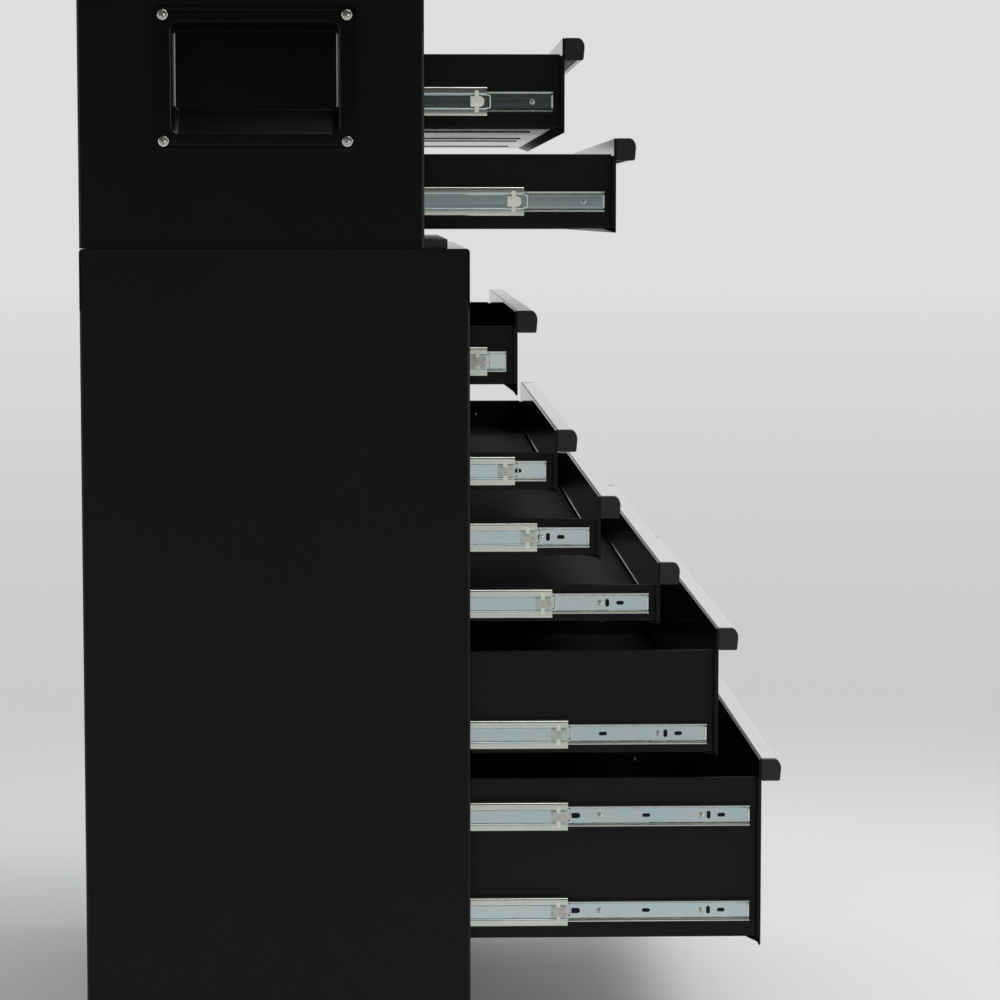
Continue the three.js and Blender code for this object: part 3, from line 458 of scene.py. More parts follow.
# bodies of the chest and the cabinet, and the casters' metal
rolledSolids = {
    # width of the roll in millimetres, finish, slot, body, and the finish of its top where that differs
    "cabinet_shell": (0.25, coats["cabinetCoat"], "cabinet_coat", "root", coats["cabinetTop"]),
    "cabinet_base": (0.4, coats["cabinetCoat"], "cabinet_coat", "root"),
    "chest_shell": (0.22, coats["chestCoat"], "chest_coat", "root"),
    "chest_lid": (0.35, coats["chestCoat"], "chest_coat", "lid"),
}
for end in ("front", "rear"):
    fork, pedal = f"swivel_caster_{end}_fork", f"swivel_caster_{end}_brake_pedal"
    rolledSolids[f"rigid_caster_{end}_bracket"] = (0.7, metals["casterZinc"], "caster_zinc", "root")
    rolledSolids[f"swivel_caster_{end}_plate"] = (0.6, metals["casterZinc"], "caster_zinc", "root")
    rolledSolids[fork] = (0.7, metals["casterZinc"], "caster_zinc", fork)
    rolledSolids[pedal] = (0.8, coats["pedalPlastic"], "pedal_plastic", pedal)

rolling = {
    "merge": 1e-6, "flatAngle": 0.5, "shapeAngle": 60, "edgeAngle": 30, "segments": 2, "weight": 100,
    "upward": 0.99, "topBand": 0.5,
}


def rolledCopy(node, width, finish, slot, body, topFinish=None):
    # a copy of a solid whose edges are rolled over, as on pressed and powder-coated sheet
    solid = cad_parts[node]
    bm = bmesh.new()
    bm.from_mesh(solid.data)
    bmesh.ops.transform(bm, matrix=solid.matrix_world, verts=bm.verts)
    bmesh.ops.remove_doubles(bm, verts=bm.verts, dist=rolling["merge"])
    flat, shape = math.radians(rolling["flatAngle"]), math.radians(rolling["shapeAngle"])
    bmesh.ops.join_triangles(bm, faces=bm.faces, angle_face_threshold=flat, angle_shape_threshold=shape)
    mesh = meshFrom(bm, node + "_rolled")
    mesh.materials.clear()
    mesh.materials.append(finish)
    if topFinish:
        mesh.materials.append(topFinish)
        highest = max(vertex.co.z for vertex in mesh.vertices)
        for polygon in mesh.polygons:
            onTop = polygon.center.z > highest - rolling["topBand"] / 1000
            polygon.material_index = 1 if onTop and polygon.normal.z > rolling["upward"] else 0
    mesh.shade_smooth()
    mesh.set_sharp_from_angle(angle=math.radians(rolling["edgeAngle"]))
    piece = addObject(node + "_rolled", mesh)
    modifier = piece.modifiers.new("roll", "BEVEL")
    modifier.width = width / 1000
    modifier.segments = rolling["segments"]
    modifier.limit_method = "ANGLE"
    modifier.angle_limit = math.radians(rolling["edgeAngle"])
    modifier.use_clamp_overlap = False
    evener = piece.modifiers.new("flats", "WEIGHTED_NORMAL")
    evener.weight = rolling["weight"]
    evener.keep_sharp = True
    rolled = bakedMesh(piece)
    piece.modifiers.clear()
    # a roll may swell at a corner, so every vertex is kept within the solid's own box
    low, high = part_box(node)
    for vertex in rolled.vertices:
        vertex.co = [min(max(value, low[i]), high[i]) for i, value in enumerate(vertex.co)]
    piece.data = rolled
    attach(piece, body)
    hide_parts(node)


for node, choices in rolledSolids.items():
    rolledCopy(node, *choices)
print("shells, lid and caster metal made")


# drawers: heights of the box and the slides within each kind
drawerKinds = {
    "chest": {"sideDrop": 18.7, "lipDrop": 4.8, "slideRises": (32.5,)},
    "top": {"sideDrop": 18.6, "lipDrop": 12.6, "slideRises": (28,)},
    "slim": {"sideDrop": 27.5, "lipDrop": 3.6, "slideRises": (22.6,)},
    "deep": {"sideDrop": 27.5, "lipDrop": 2.6, "slideRises": (24,)},
    "bottom": {"sideDrop": 23.4, "lipDrop": 8, "slideRises": (34, 151.6)},
}
drawerNames = {
    "chest_drawer_upper": "chest", "chest_drawer_lower": "chest", "cabinet_drawer_1": "top",
    "cabinet_drawer_2": "slim", "cabinet_drawer_3": "slim", "cabinet_drawer_4": "slim",
    "cabinet_drawer_5": "deep", "cabinet_drawer_6": "bottom",
}
tray = {
    "sheet": 1.2, "hemWidth": 3.6, "hemDrop": 8, "hemRadius": 0.5, "rearHem": 9, "faceThickness": 5.2,
    "faceSide": 1.5, "tabGap": 0.2, "tabSheet": 1, "tabReach": 12, "tabDrop": 2, "beads": (70, 400),
    "beadWidth": 7, "beadDrop": 0.9, "beadStart": 30, "beadEnd": 25, "toneBand": 0.1, "paintedLightDrop": 2,
    "inward": 0.01, "downward": -0.3,
}
slideSizes = {
    "thickness": 12.7, "sheet": 1.2, "play": 0.7, "carriageHeight": 35, "carriageReach": 10.6, "lip": 1.4,
    "channelHalf": 8, "channelDepth": 2.6, "channelSlope": 1.2, "lipRadius": 0.8, "cornerRadius": 1.4,
    "channelRadius": 0.5, "bandStart": 0.3, "memberHeight": 24.3, "memberSetBack": 13.6, "memberLength": 340,
    "memberFold": 3, "memberRadius": 1, "webGap": 1.6, "lugReach": 4.9, "lugStart": 0.1, "lugEnd": 1.9,
    "lugHalf": 7.6,
}


def onSide(sign, one, two):
    # two distances from the middle, as a rising pair on the left or the right
    return sorted((sign * one, sign * two))


def drawerPlan(name):
    low, high = millimetres(name)
    kind = drawerKinds[drawerNames[name]]
    boxBottom = low[2] + kind["lipDrop"]
    opening = high[0] + tray["faceSide"]
    return {
        "name": name, "inChest": name.startswith("chest"), "face": low[1], "rear": high[1],
        "faceHalf": high[0], "opening": opening, "boxHalf": opening - slideSizes["thickness"],
        "faceBottom": low[2], "faceTop": high[2], "boxBottom": boxBottom,
        "boxTop": high[2] - kind["sideDrop"], "slides": [boxBottom + rise for rise in kind["slideRises"]],
    }


def dressTray(plan):
    t = tray["sheet"]
    half = plan["boxHalf"] - t / 2
    hem, radius = half - (tray["hemWidth"] - t), tray["hemRadius"]
    low, high = plan["boxBottom"] + t / 2, plan["boxTop"] - t / 2
    right = [(half, low), (half, high, radius), (hem, high, radius), (hem, plan["boxTop"] - tray["hemDrop"])]
    left = [(-point[0],) + point[1:] for point in reversed(right)]
    bm = bmesh.new()
    front = plan["face"] + tray["faceThickness"]
    addPrism(bm, folded(left + right, t), "y", front, plan["rear"])
    # the rear wall, hemmed forwards at its top
    wall, back = plan["rear"] - t / 2, plan["rear"] - tray["rearHem"]
    addPrism(bm, folded([(wall, low), (wall, high, radius), (back, high)], t), "x", -hem + t, hem - t)
    # folded and spot-welded corner tabs of the front
    for sign in (-1, 1):
        outer = half - t / 2 - tray["tabGap"]
        x = onSide(sign, outer, outer - tray["tabSheet"])
        tabTop = plan["boxTop"] - tray["tabDrop"]
        addBlock(bm, (x[0], plan["face"] + 2 * t, low + t), (x[1], front + tray["tabReach"], tabTop))
    # stiffening beads along the floor's underside
    side, drop = tray["beadWidth"] / 2, tray["beadDrop"]
    for at in tray["beads"]:
        for sign in (-1, 1):
            middle, bottom = sign * at, plan["boxBottom"]
            bead = rectangle((middle - side, bottom - drop), (middle + side, bottom + t / 2), drop)
            addPrism(bm, bead, "y", front + tray["beadStart"], plan["rear"] - tray["beadEnd"])
    bmesh.ops.recalc_face_normals(bm, faces=bm.faces)
    # faces under the floor take the glossy under coat, and the inside faces take the paler inside coat,
    # painted light in the drawer's shade
    for face in bm.faces:
        middle = face.calc_center_median()
        within = abs(middle.x) < half - t / 2 + tray["toneBand"]
        inside = within and face.normal.x * middle.x <= tray["inward"]
        if middle.z < plan["boxBottom"] + tray["toneBand"] and face.normal.z < tray["downward"]:
            face.material_index = 2
        elif inside and middle.z < plan["boxTop"] - tray["paintedLightDrop"]:
            face.material_index = 1
    finishes = [coats["drawerCoat"], coats["insidePaintedLight"], coats["underCoat"]]
    finishPiece(plan["name"] + "_tray", bm, finishes, plan["name"], [plan["name"]])


frontPan = {
    "radius": 1.4, "hemGap": 0.35, "skinSteps": 6, "bend": 0.6, "flangeSheet": 0.8, "flangeRise": 8,
    "flangeGap": 0.05, "flangeReach": 2, "flangeInset": 1, "floorGap": 0.02, "tipBand": 0.1, "finDepth": 16,
    "finStart": 0.1, "finShares": (0.30, 0.42), "finRadius": 8, "finSteps": 5, "tabInset": 0.4, "tabRise": 1,
    "rim": (2.6, 2.4), "rimRadius": 1.1,
}


def dressFront(plan):
    t = tray["sheet"]
    face, top = plan["face"], plan["faceTop"] - t / 2
    skin, inner = face + t / 2, face + tray["faceThickness"] - t / 2
    foot, half = plan["faceBottom"] + t / 2, plan["faceHalf"]
    hem, radius = skin + t + frontPan["hemGap"], frontPan["radius"]
    skinPath = [(skin, foot), (skin, top, radius), (hem, top, radius), (hem, plan["boxBottom"] + t)]
    bm = bmesh.new()
    for facet in addPrism(bm, folded(skinPath, t, frontPan["skinSteps"]), "x", -half, half):
        middle = facet.calc_center_median()
        if middle.y > skin + t and middle.z > plan["boxBottom"] + t:
            facet.material_index = 1
    # the floor's front flange, folded up behind the front
    sheet, bend = frontPan["flangeSheet"], frontPan["bend"]
    flange = hem + t / 2 + frontPan["flangeGap"] + sheet / 2
    floor = plan["boxBottom"] + t * 1.5 + frontPan["floorGap"]
    tip, reach = floor + frontPan["flangeRise"], plan["boxHalf"] - frontPan["flangeInset"]
    flangePath = [(flange, tip), (flange, floor, bend), (inner + bend + frontPan["flangeReach"], floor)]
    # the flange takes the paler inside coat, painted light, and its tip takes the glossy under coat
    for facet in addPrism(bm, folded(flangePath, sheet), "x", -reach, reach, 2):
        if facet.calc_center_median().z > tip - frontPan["tipBand"]:
            facet.material_index = 1
    # the fin from the lip's tip back under the floor
    depth, drop = frontPan["finDepth"], plan["boxBottom"] - plan["faceBottom"]
    along, up = frontPan["finShares"]
    finPath = [(skin + frontPan["finStart"], foot),
               (skin + along * depth, plan["faceBottom"] + up * drop, frontPan["finRadius"]),
               (face + depth, plan["boxBottom"] + t / 2)]
    addPrism(bm, folded(finPath, t, frontPan["finSteps"]), "x", -plan["boxHalf"], plan["boxHalf"])
    # closing tabs at both ends of the pan, a little inside its edges
    end, tabTop = half - frontPan["tabInset"], plan["boxTop"] - tray["tabDrop"]
    for sign in (-1, 1):
        x = onSide(sign, end, end - t)
        addBlock(bm, (x[0], skin, plan["boxBottom"] + frontPan["tabRise"]), (x[1], inner, tabTop))
    # a rounded rim along the lip's tip
    width, height = frontPan["rim"]
    low = (face, plan["faceBottom"])
    rim = rectangle(low, (face + width, plan["faceBottom"] + height), frontPan["rimRadius"])
    addPrism(bm, rim, "x", -half, half)
    finishes = [coats["drawerCoat"], coats["underCoat"], coats["insidePaintedLight"]]
    finishPiece(plan["name"] + "_front", bm, finishes, plan["name"])


# drawer pulls
pull = {
    "depth": 23.85, "height": 26.5, "gap": 0.3, "shoulder": (4.6, 8), "shoulderRadii": (9, 14), "heel": 2.4,
    "sheet": 1.6, "backShare": 0.72, "lipShare": 0.62, "taperShare": 0.93, "backRadius": 0.3, "steps": 8,
    "capLength": 9, "capRadii": (1.1, 1), "capEdge": 0.8,
}


def dressPull(plan):
    back = plan["face"] - pull["gap"]
    top, half = plan["faceTop"], plan["faceHalf"]
    foot = top - pull["height"]
    nose, heel = back - pull["depth"], back - pull["depth"] * pull["taperShare"]
    sheet = pull["sheet"]
    inset = sheet / 2
    across, down = pull["shoulder"]
    high, low = pull["shoulderRadii"]
    path = [
        (back - inset, top - pull["height"] * pull["backShare"]),
        (back - inset, top - inset, pull["backRadius"]),
        (nose + across, top - inset, high - sheet),
        (nose + inset, top - down, low - sheet),
        (heel + inset, foot + inset, pull["heel"] - sheet),
        (back - pull["depth"] * pull["lipShare"], foot + inset),
    ]
    node = plan["name"] + "_pull"
    reach = half - pull["capLength"]
    bm = bmesh.new()
    addPrism(bm, folded(path, sheet, pull["steps"]), "x", -reach, reach)
    finishPiece(node + "_strip", bm, [metals["pullAlloy"]], plan["name"], [node])
    topRadius, footRadius = pull["capRadii"]
    corners = [
        (back, top, topRadius),
        (nose + across, top, high),
        (nose, top - down, low),
        (heel, foot, pull["heel"]),
        (back, foot, footRadius),
    ]
    bm = bmesh.new()
    ends = []
    for sign in (-1, 1):
        cap = addPrism(bm, rounded(corners, pull["steps"]), "x", *onSide(sign, half, reach))
        ends.append(cap[0 if sign < 0 else 1])
    softenEdges(bm, pull["capEdge"], faces=ends)
    finishPiece(node + "_caps", bm, [coats["capPlastic"]], plan["name"])


# slides
def plateWithHoles(bm, outline, holes, axis, low, high):
    # a flat plate with holes, filled between its loops and drawn out along the axis
    flat = bmesh.new()
    edges = []
    for loop in [outline] + holes:
        verts = [flat.verts.new(placed(point, axis, low)) for point in loop]
        edges += [flat.edges.new((verts[i], verts[(i + 1) % len(verts)])) for i in range(len(verts))]
    bmesh.ops.triangle_fill(flat, edges=edges, use_beauty=True, use_dissolve=False)
    drawn = bmesh.ops.extrude_face_region(flat, geom=list(flat.faces), use_keep_orig=True)
    moved = [item for item in drawn["geom"] if isinstance(item, bmesh.types.BMVert)]
    bmesh.ops.translate(flat, verts=moved, vec=placed((0, 0), axis, high - low))
    spare = meshFrom(flat, "spare")
    bm.from_mesh(spare)
    bpy.data.meshes.remove(spare)


memberHoles = {
    # distance behind the front end, then the half sizes along the slide and across it
    "slots": ((34.2, 4.7, 2.4), (49.8, 2.4, 4.8), (126, 4.9, 2.3)), "oblong": (212.7, 6.2, 3.3),
    "screws": (59.0, 183.5), "chestScrew": 25.0, "roundShare": 0.98,
}


def dressMembers(plan, sign, side):
    # the drawer's own slide sections, which give back where their screws sit
    t = slideSizes["sheet"]
    front = plan["face"] + slideSizes["memberSetBack"]
    end = front + slideSizes["memberLength"]
    web = plan["opening"] - slideSizes["thickness"]
    tip = plan["opening"] - (2 * t + 2 * slideSizes["play"])
    half, gap = slideSizes["memberHeight"] / 2 - t / 2, slideSizes["webGap"]
    if plan["inChest"]:
        slots, backs = (), (memberHoles["chestScrew"],)
    elif len(plan["slides"]) > 1:
        slots, backs = (*memberHoles["slots"], memberHoles["oblong"]), memberHoles["screws"]
    else:
        slots, backs = memberHoles["slots"], memberHoles["screws"][:1]
    screws = []
    bm = bmesh.new()
    for z in plan["slides"]:
        screws += [(sign * (web + t), front + back, z) for back in backs]
        for up in (-1, 1):
            lip = [(sign * (web + t / 2), z + up * (half - slideSizes["memberFold"])),
                   (sign * (web + t / 2), z + up * half, slideSizes["memberRadius"]),
                   (sign * tip, z + up * half)]
            addPrism(bm, folded(lip, t), "y", front, end, 1)
        # the web, flat against the drawer's side, with its slots
        holes = []
        for back, along, across in slots:
            radius = min(along, across) * memberHoles["roundShare"]
            low, high = (front + back - along, z - across), (front + back + along, z + across)
            holes.append(rectangle(low, high, radius))
        plate = rectangle((front, z - half + gap), (end, z + half - gap))
        plateWithHoles(bm, plate, holes, "x", *onSide(sign, web, web + t))
        # the bent stop lug at the front end, its zinc painted near white as a highlight
        x, rise = onSide(sign, web + t, web + t + slideSizes["lugReach"]), slideSizes["lugHalf"]
        start, stop = front + slideSizes["lugStart"], front + slideSizes["lugEnd"]
        addBlock(bm, (x[0], start, z - rise), (x[1], stop, z + rise), 2)
    finishes = [metals["zincPlate"], metals["zincBand"], metals["lugPaintedHighlight"]]
    finishPiece(f"{plan['name']}_slide_{side}", bm, finishes, plan["name"])
    return screws


latch = {
    "length": 19, "height": 12.6, "thickness": 1.9, "setBack": 1.2, "nose": 2.4, "chestLength": 16.4,
    "chestSetBack": 3.4, "chestNose": 5.6, "tailRadius": 0.6, "steps": 6, "edge": 0.3, "nub": 5,
    "nubHeight": 5, "nubShare": 0.55, "nubBite": 1, "nubProud": 0.35, "nubRadius": 0.8,
}
clip = {"reach": 4.4, "height": 16.4, "wire": 0.6, "inset": 0.3, "tail": 3, "radius": 2, "innerRadius": 1}


def carriagePath(sign, web, tip, z):
    # the middle section from its upper lip over the pressed channel down to its lower lip
    half, channel = (slideSizes["carriageHeight"] - slideSizes["sheet"]) / 2, slideSizes["channelHalf"]
    bend = slideSizes["channelRadius"]
    upper = [
        (tip, half - slideSizes["lip"]),
        (tip, half, slideSizes["lipRadius"]),
        (web, half, slideSizes["cornerRadius"]),
        (web, channel + slideSizes["channelSlope"], bend),
        (web - slideSizes["channelDepth"], channel, bend),
    ]
    return ([(sign * x, z + rise, *radius) for x, rise, *radius in upper]
            + [(sign * x, z - rise, *radius) for x, rise, *radius in reversed(upper)])


def addLatch(bm, plan, sign, web, front, z):
    # the release latch in the channel, with its upper and lower nubs
    t = slideSizes["sheet"]
    kind = ("chestLength", "chestSetBack", "chestNose") if plan["inChest"] else ("length", "setBack", "nose")
    length, setBack, nose = (latch[key] for key in kind)
    near, far = front + setBack, front + setBack + length
    half, tail = latch["height"] / 2, latch["tailRadius"]
    shape = [(near, z - half, nose), (far, z - half, tail), (far, z + half, tail), (near, z + half, nose)]
    outer = web + t / 2 - slideSizes["channelDepth"]
    across = onSide(sign, outer, outer + latch["thickness"])
    addPrism(bm, rounded(shape, latch["steps"]), "x", *across, 0 if plan["inChest"] else 1)
    middle, side = near + length * latch["nubShare"], latch["nub"] / 2
    across = onSide(sign, web - t, web + t / 2 + latch["nubProud"])
    for up in (-1, 1):
        root, tip = half - latch["nubBite"], slideSizes["channelHalf"] + latch["nubHeight"]
        low, high = sorted((z + up * root, z + up * tip))
        addPrism(bm, rectangle((middle - side, low), (middle + side, high), latch["nubRadius"]), "x", *across)


def addClip(bm, x, front, z):
    # the ball cage's wire end in front of the carriage
    wire, half = 2 * clip["wire"], clip["height"] / 2
    start, end = front - clip["reach"], front + clip["tail"]
    loop = rectangle((start, z - half), (end, z + half), clip["radius"])
    hole = rectangle((start + wire, z - half + wire), (end - wire, z + half - wire), clip["innerRadius"])
    plateWithHoles(bm, loop, [hole], "x", x - clip["wire"], x + clip["wire"])


def dressCarriages(plan, sign, side):
    name, t = plan["name"], slideSizes["sheet"]
    web = plan["opening"] - (t + slideSizes["play"] + t / 2)
    tip = plan["opening"] - slideSizes["carriageReach"]
    wire = web - slideSizes["channelDepth"] - clip["inset"]
    band = slideSizes["channelHalf"] + slideSizes["channelSlope"] + slideSizes["bandStart"]
    levels = ("_low", "_high") if len(plan["slides"]) > 1 else ("",)
    nodes = [f"{name}_carriage_{side}{level}" for level in levels]
    metal, plastic = bmesh.new(), bmesh.new()
    for node, z in zip(nodes, plan["slides"]):
        low, high = millimetres(node)
        for face in addPrism(metal, folded(carriagePath(sign, web, tip, z), t), "y", low[1], high[1]):
            if abs(face.calc_center_median().z - z) > band:
                face.material_index = 1
        addLatch(plastic, plan, sign, web, low[1], z)
        addClip(plastic, sign * wire, low[1], z)
    softenEdges(plastic, latch["edge"], segments=2)
    bands, tones = [metals["zincPlate"], metals["zincBand"]], [coats["latchPlastic"], coats["latchGrey"]]
    finishPiece(f"{name}_middle_{side}", metal, bands, name + "_carriages", nodes)
    finishPiece(f"{name}_latch_{side}", plastic, tones, name + "_carriages")


# screws on points
screwHead = {"radius": 3.4, "height": 1.5, "recess": 1.1, "recessWidth": 1.0}
screwEnd = {"radius": 2.4, "height": 1.6, "recess": 0.4, "recessWidth": 0.7}
gripScrew = {"radius": 6.1, "height": 0.8, "recess": 0.5, "recessWidth": 1.7}
screwSockets = {"Radius": "radius", "Height": "height", "Recess": "recess", "Recess Width": "recessWidth"}
screwMesh = {"segments": 20, "rings": 12, "barShare": 1.15}


def endTree(tree, source, result, instances):
    # plain geometry with its finish, because the export drops instances
    real = addNode(tree, "GeometryNodeRealizeInstances", {"Geometry": instances.outputs[0]})
    finish = {"Geometry": real.outputs[0], "Material": source.outputs["Finish"]}
    painted = addNode(tree, "GeometryNodeSetMaterial", finish)
    tree.links.new(painted.outputs[0], result.inputs["Geometry"])
    return tree


def screwTree():
    # round heads with a cross recess, one on each point, facing the way that its attribute says
    sizes = [(label, "Float", screwHead[size] / 1000) for label, size in screwSockets.items()]
    inputs = [("Geometry", "Geometry", None)] + sizes + [("Finish", "Material", None)]
    outputs = [("Geometry", "Geometry")]
    tree, source, result = startTree("crossHeadScrews", "GeometryNodeTree", inputs, outputs)
    radius, height, recess, width = (source.outputs[label] for label in screwSockets)
    ball = {"Segments": screwMesh["segments"], "Rings": screwMesh["rings"], "Radius": radius}
    ball = addNode(tree, "GeometryNodeMeshUVSphere", ball).outputs["Mesh"]
    squash = vectorOf(tree, 1, 1, calculate(tree, "DIVIDE", height, radius))
    dome = addNode(tree, "GeometryNodeTransform", {"Geometry": ball, "Scale": squash})
    length = calculate(tree, "MULTIPLY", radius, screwMesh["barShare"])
    deep, lift = calculate(tree, "MULTIPLY", recess, 2), vectorOf(tree, 0, 0, height)
    cut = addNode(tree, "GeometryNodeMeshBoolean", operation="DIFFERENCE")
    tree.links.new(dome.outputs[0], cut.inputs["Mesh 1"])
    for x, y in ((length, width), (width, length)):
        bar = addNode(tree, "GeometryNodeMeshCube", {"Size": vectorOf(tree, x, y, deep)}).outputs["Mesh"]
        moved = addNode(tree, "GeometryNodeTransform", {"Geometry": bar, "Translation": lift})
        tree.links.new(moved.outputs[0], cut.inputs["Mesh 2"])
    facing = addNode(tree, "GeometryNodeInputNamedAttribute", {"Name": "facing"}, data_type="FLOAT_VECTOR")
    facing = {"Vector": facing.outputs["Attribute"]}
    turn = addNode(tree, "FunctionNodeAlignRotationToVector", facing, axis="Z")
    points = addNode(tree, "GeometryNodeMeshToPoints", {"Mesh": source.outputs["Geometry"]})
    spread = {"Points": points.outputs[0], "Instance": cut.outputs[0], "Rotation": turn.outputs[0]}
    return endTree(tree, source, result, addNode(tree, "GeometryNodeInstanceOnPoints", spread))


def growPoints(name, tree, points, values, body, facings=None, sharpAngle=40):
    # points in millimetres become a plain mesh through the tree, one object for the body
    mesh = bpy.data.meshes.new(name + "_points")
    mesh.from_pydata([(x / 1000, (y + frontPlane) / 1000, z / 1000) for x, y, z in points], [], [])
    if facings:
        facing = mesh.attributes.new("facing", "FLOAT_VECTOR", "POINT")
        facing.data.foreach_set("vector", [value for way in facings for value in way])
    seedling = addObject(name + "_points", mesh)
    modifier = seedling.modifiers.new("grow", "NODES")
    modifier.node_group = tree
    for item in tree.interface.items_tree:
        if item.item_type == "SOCKET" and item.in_out == "INPUT" and item.name in values:
            modifier[item.identifier] = values[item.name]
    grown = bakedMesh(seedling)
    bpy.data.objects.remove(seedling)
    grown.shade_smooth()
    grown.set_sharp_from_angle(angle=math.radians(sharpAngle))
    piece = addObject(name, grown)
    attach(piece, body)


crossHead = screwTree()


def addScrews(name, places, facings, body, sizes):
    values = {label: sizes[size] / 1000 for label, size in screwSockets.items()}
    values["Finish"] = metals["screwZinc"]
    growPoints(name, crossHead, places, values, body, facings)


for name in drawerNames:
    plan = drawerPlan(name)
    dressTray(plan)
    dressFront(plan)
    dressPull(plan)
    inner = plan["opening"] - slideSizes["thickness"] - tray["sheet"]
    places, facings, ends, inward = [], [], [], []
    for sign, side in leftRight:
        own = dressMembers(plan, sign, side)
        dressCarriages(plan, sign, side)
        places += own
        facings += [(sign, 0, 0)] * len(own)
        ends += [(sign * inner, y, z) for x, y, z in own]
        inward += [(-sign, 0, 0)] * len(own)
    addScrews(name + "_screws", places, facings, name, screwHead)
    addScrews(name + "_screw_ends", ends, inward, name, screwEnd)
print("drawers, pulls and slides made")


# carrying grips: rings of rounded rectangles from the pocket's back out over the plate and back behind it
grip = {
    "plate": (240, 171.5), "thickness": 1.8, "corner": 9, "mouth": (198.2, 131.2), "back": (193.6, 92.6),
    "backRise": 11.5, "depth": 26, "wall": 1.4, "mouthRoll": 2.2, "backRoll": 2.2, "rollSteps": 5,
    "flatter": 0.4, "backCorner": 3, "cornerLoss": 4, "insetShare": 0.6, "edgeRoll": 0.7, "edgeShare": 0.3,
    "beadInset": 5, "beadWidth": 3, "beadDepth": 0.2, "screwInset": 11.5, "steps": 8, "bendTone": 0.2,
}
beadShares = ((1, 0), (0.75, 0.7), (0.5, 1), (0.25, 0.7), (0, 0))  # of the bead's width and depth


def gripRing(middle, x, size, rise, radius):
    low = (middle[0] - size[0] / 2, middle[1] + rise - size[1] / 2)
    high = (middle[0] + size[0] / 2, middle[1] + rise + size[1] / 2)
    return [(x, a, b) for a, b in rectangle(low, high, radius, grip["steps"])]


def pocketRing(middle, x, share, grow):
    grows = (grow, grow * grip["flatter"])
    size = [m + (b - m) * share + 2 * g for m, b, g in zip(grip["mouth"], grip["back"], grows)]
    radius = grip["corner"] - grip["backCorner"] * share + max(grow, -grip["cornerLoss"])
    return gripRing(middle, x, size, grip["backRise"] * share, radius)


def dressGrip(sign, side):
    name = "side_grip_" + side
    low, high = millimetres(name)
    outside = high[0] if sign > 0 else -low[0]
    middle = ((low[1] + high[1]) / 2, (low[2] + high[2]) / 2)
    depth, rings = grip["depth"] + grip["thickness"], []
    quarter = [math.pi / 2 * k / grip["rollSteps"] for k in range(grip["rollSteps"] + 1)]
    for angle in quarter:  # the pocket's back runs up into its wall
        lift = grip["backRoll"] * (1 - math.cos(angle))
        grow = -grip["backRoll"] * (1 - math.sin(angle))
        rings.append(pocketRing(middle, outside - depth + lift, 1 - lift / depth, grow))
    for angle in quarter:  # and the wall rolls out onto the plate
        below = grip["mouthRoll"] * (1 - math.sin(angle))
        grow = grip["mouthRoll"] * (1 - math.cos(angle))
        rings.append(pocketRing(middle, outside - below, below / depth, grow))
    # a shallow bead along the plate, then its rolled edge
    steps = [(grip["beadInset"] + grip["beadWidth"] * a, grip["beadDepth"] * b) for a, b in beadShares]
    edge, part = grip["edgeRoll"], grip["edgeRoll"] * grip["edgeShare"]
    for inset, sink in steps + [(edge, 0), (part, part), (0, edge), (0, grip["thickness"])]:
        size = [v - 2 * inset for v in grip["plate"]]
        rings.append(gripRing(middle, outside - sink, size, 0, grip["corner"] - inset * grip["insetShare"]))
    rings.append(pocketRing(middle, outside - grip["thickness"], 0, grip["wall"]))
    rings.append(pocketRing(middle, outside - depth - grip["wall"] / 2, 1, grip["wall"]))
    bm = bmesh.new()
    skin = addLoft(bm, [[(sign * x, y, z) for x, y, z in ring] for ring in rings])
    for face in skin[: grip["rollSteps"] * len(rings[0])]:
        face.normal_update()
        if abs(face.normal.y) > grip["bendTone"] and abs(face.normal.z) < grip["bendTone"]:
            face.material_index = 1
    finishes = [coats["gripCoat"], coats["gripBend"]]
    finishPiece(name + "_pressed", bm, finishes, "root", [name], sharpAngle=40)
    across, up = (size / 2 - grip["screwInset"] for size in grip["plate"])
    spots = [(sign * outside, middle[0] + a * across, middle[1] + b * up) for a in (-1, 1) for b in (-1, 1)]
    addScrews(name + "_screws", spots, [(sign, 0, 0)] * len(spots), "root", gripScrew)


for sign, side in leftRight:
    dressGrip(sign, side)
print("side grips made")

# mat on the cabinet's top
mat = {"edge": 1.6}


def dressMat():
    bm = bmesh.new()
    addBlock(bm, *millimetres("cabinet_top_mat"))
    softenEdges(bm, mat["edge"])
    finishPiece("cabinet_top_mat_slab", bm, [coats["matRubber"]], "root", ["cabinet_top_mat"])


dressMat()
print("mat made")

# caster wheels: a rolled tyre on a ribbed core, round the solid's own axle
wheel = {
    "width": 32, "tyreIn": 47, "shoulder": 7, "shoulderRadius": 3, "crown": 4.5, "crownInset": 1,
    "crownSteps": 6, "coreWidth": 25, "rim": 5.5, "rimRadius": 0.8, "web": 7, "webRadius": 2, "boss": 15,
    "bossWidth": 34, "bossRadius": 1, "draft": 1, "bore": 6.6, "coreSteps": 3, "steps": 72,
}
ribs = {"count": 10, "width": 2.6, "lift": 7, "innerBite": 0.5, "outerBite": 0.6}
ribSizes = {
    "Inner": (wheel["boss"] - ribs["innerBite"]) / 1000,
    "Outer": (wheel["tyreIn"] - wheel["rim"] + ribs["outerBite"]) / 1000,
    "Width": ribs["width"] / 1000,
    "Thickness": (wheel["web"] + 2 * ribs["lift"]) / 1000,
}


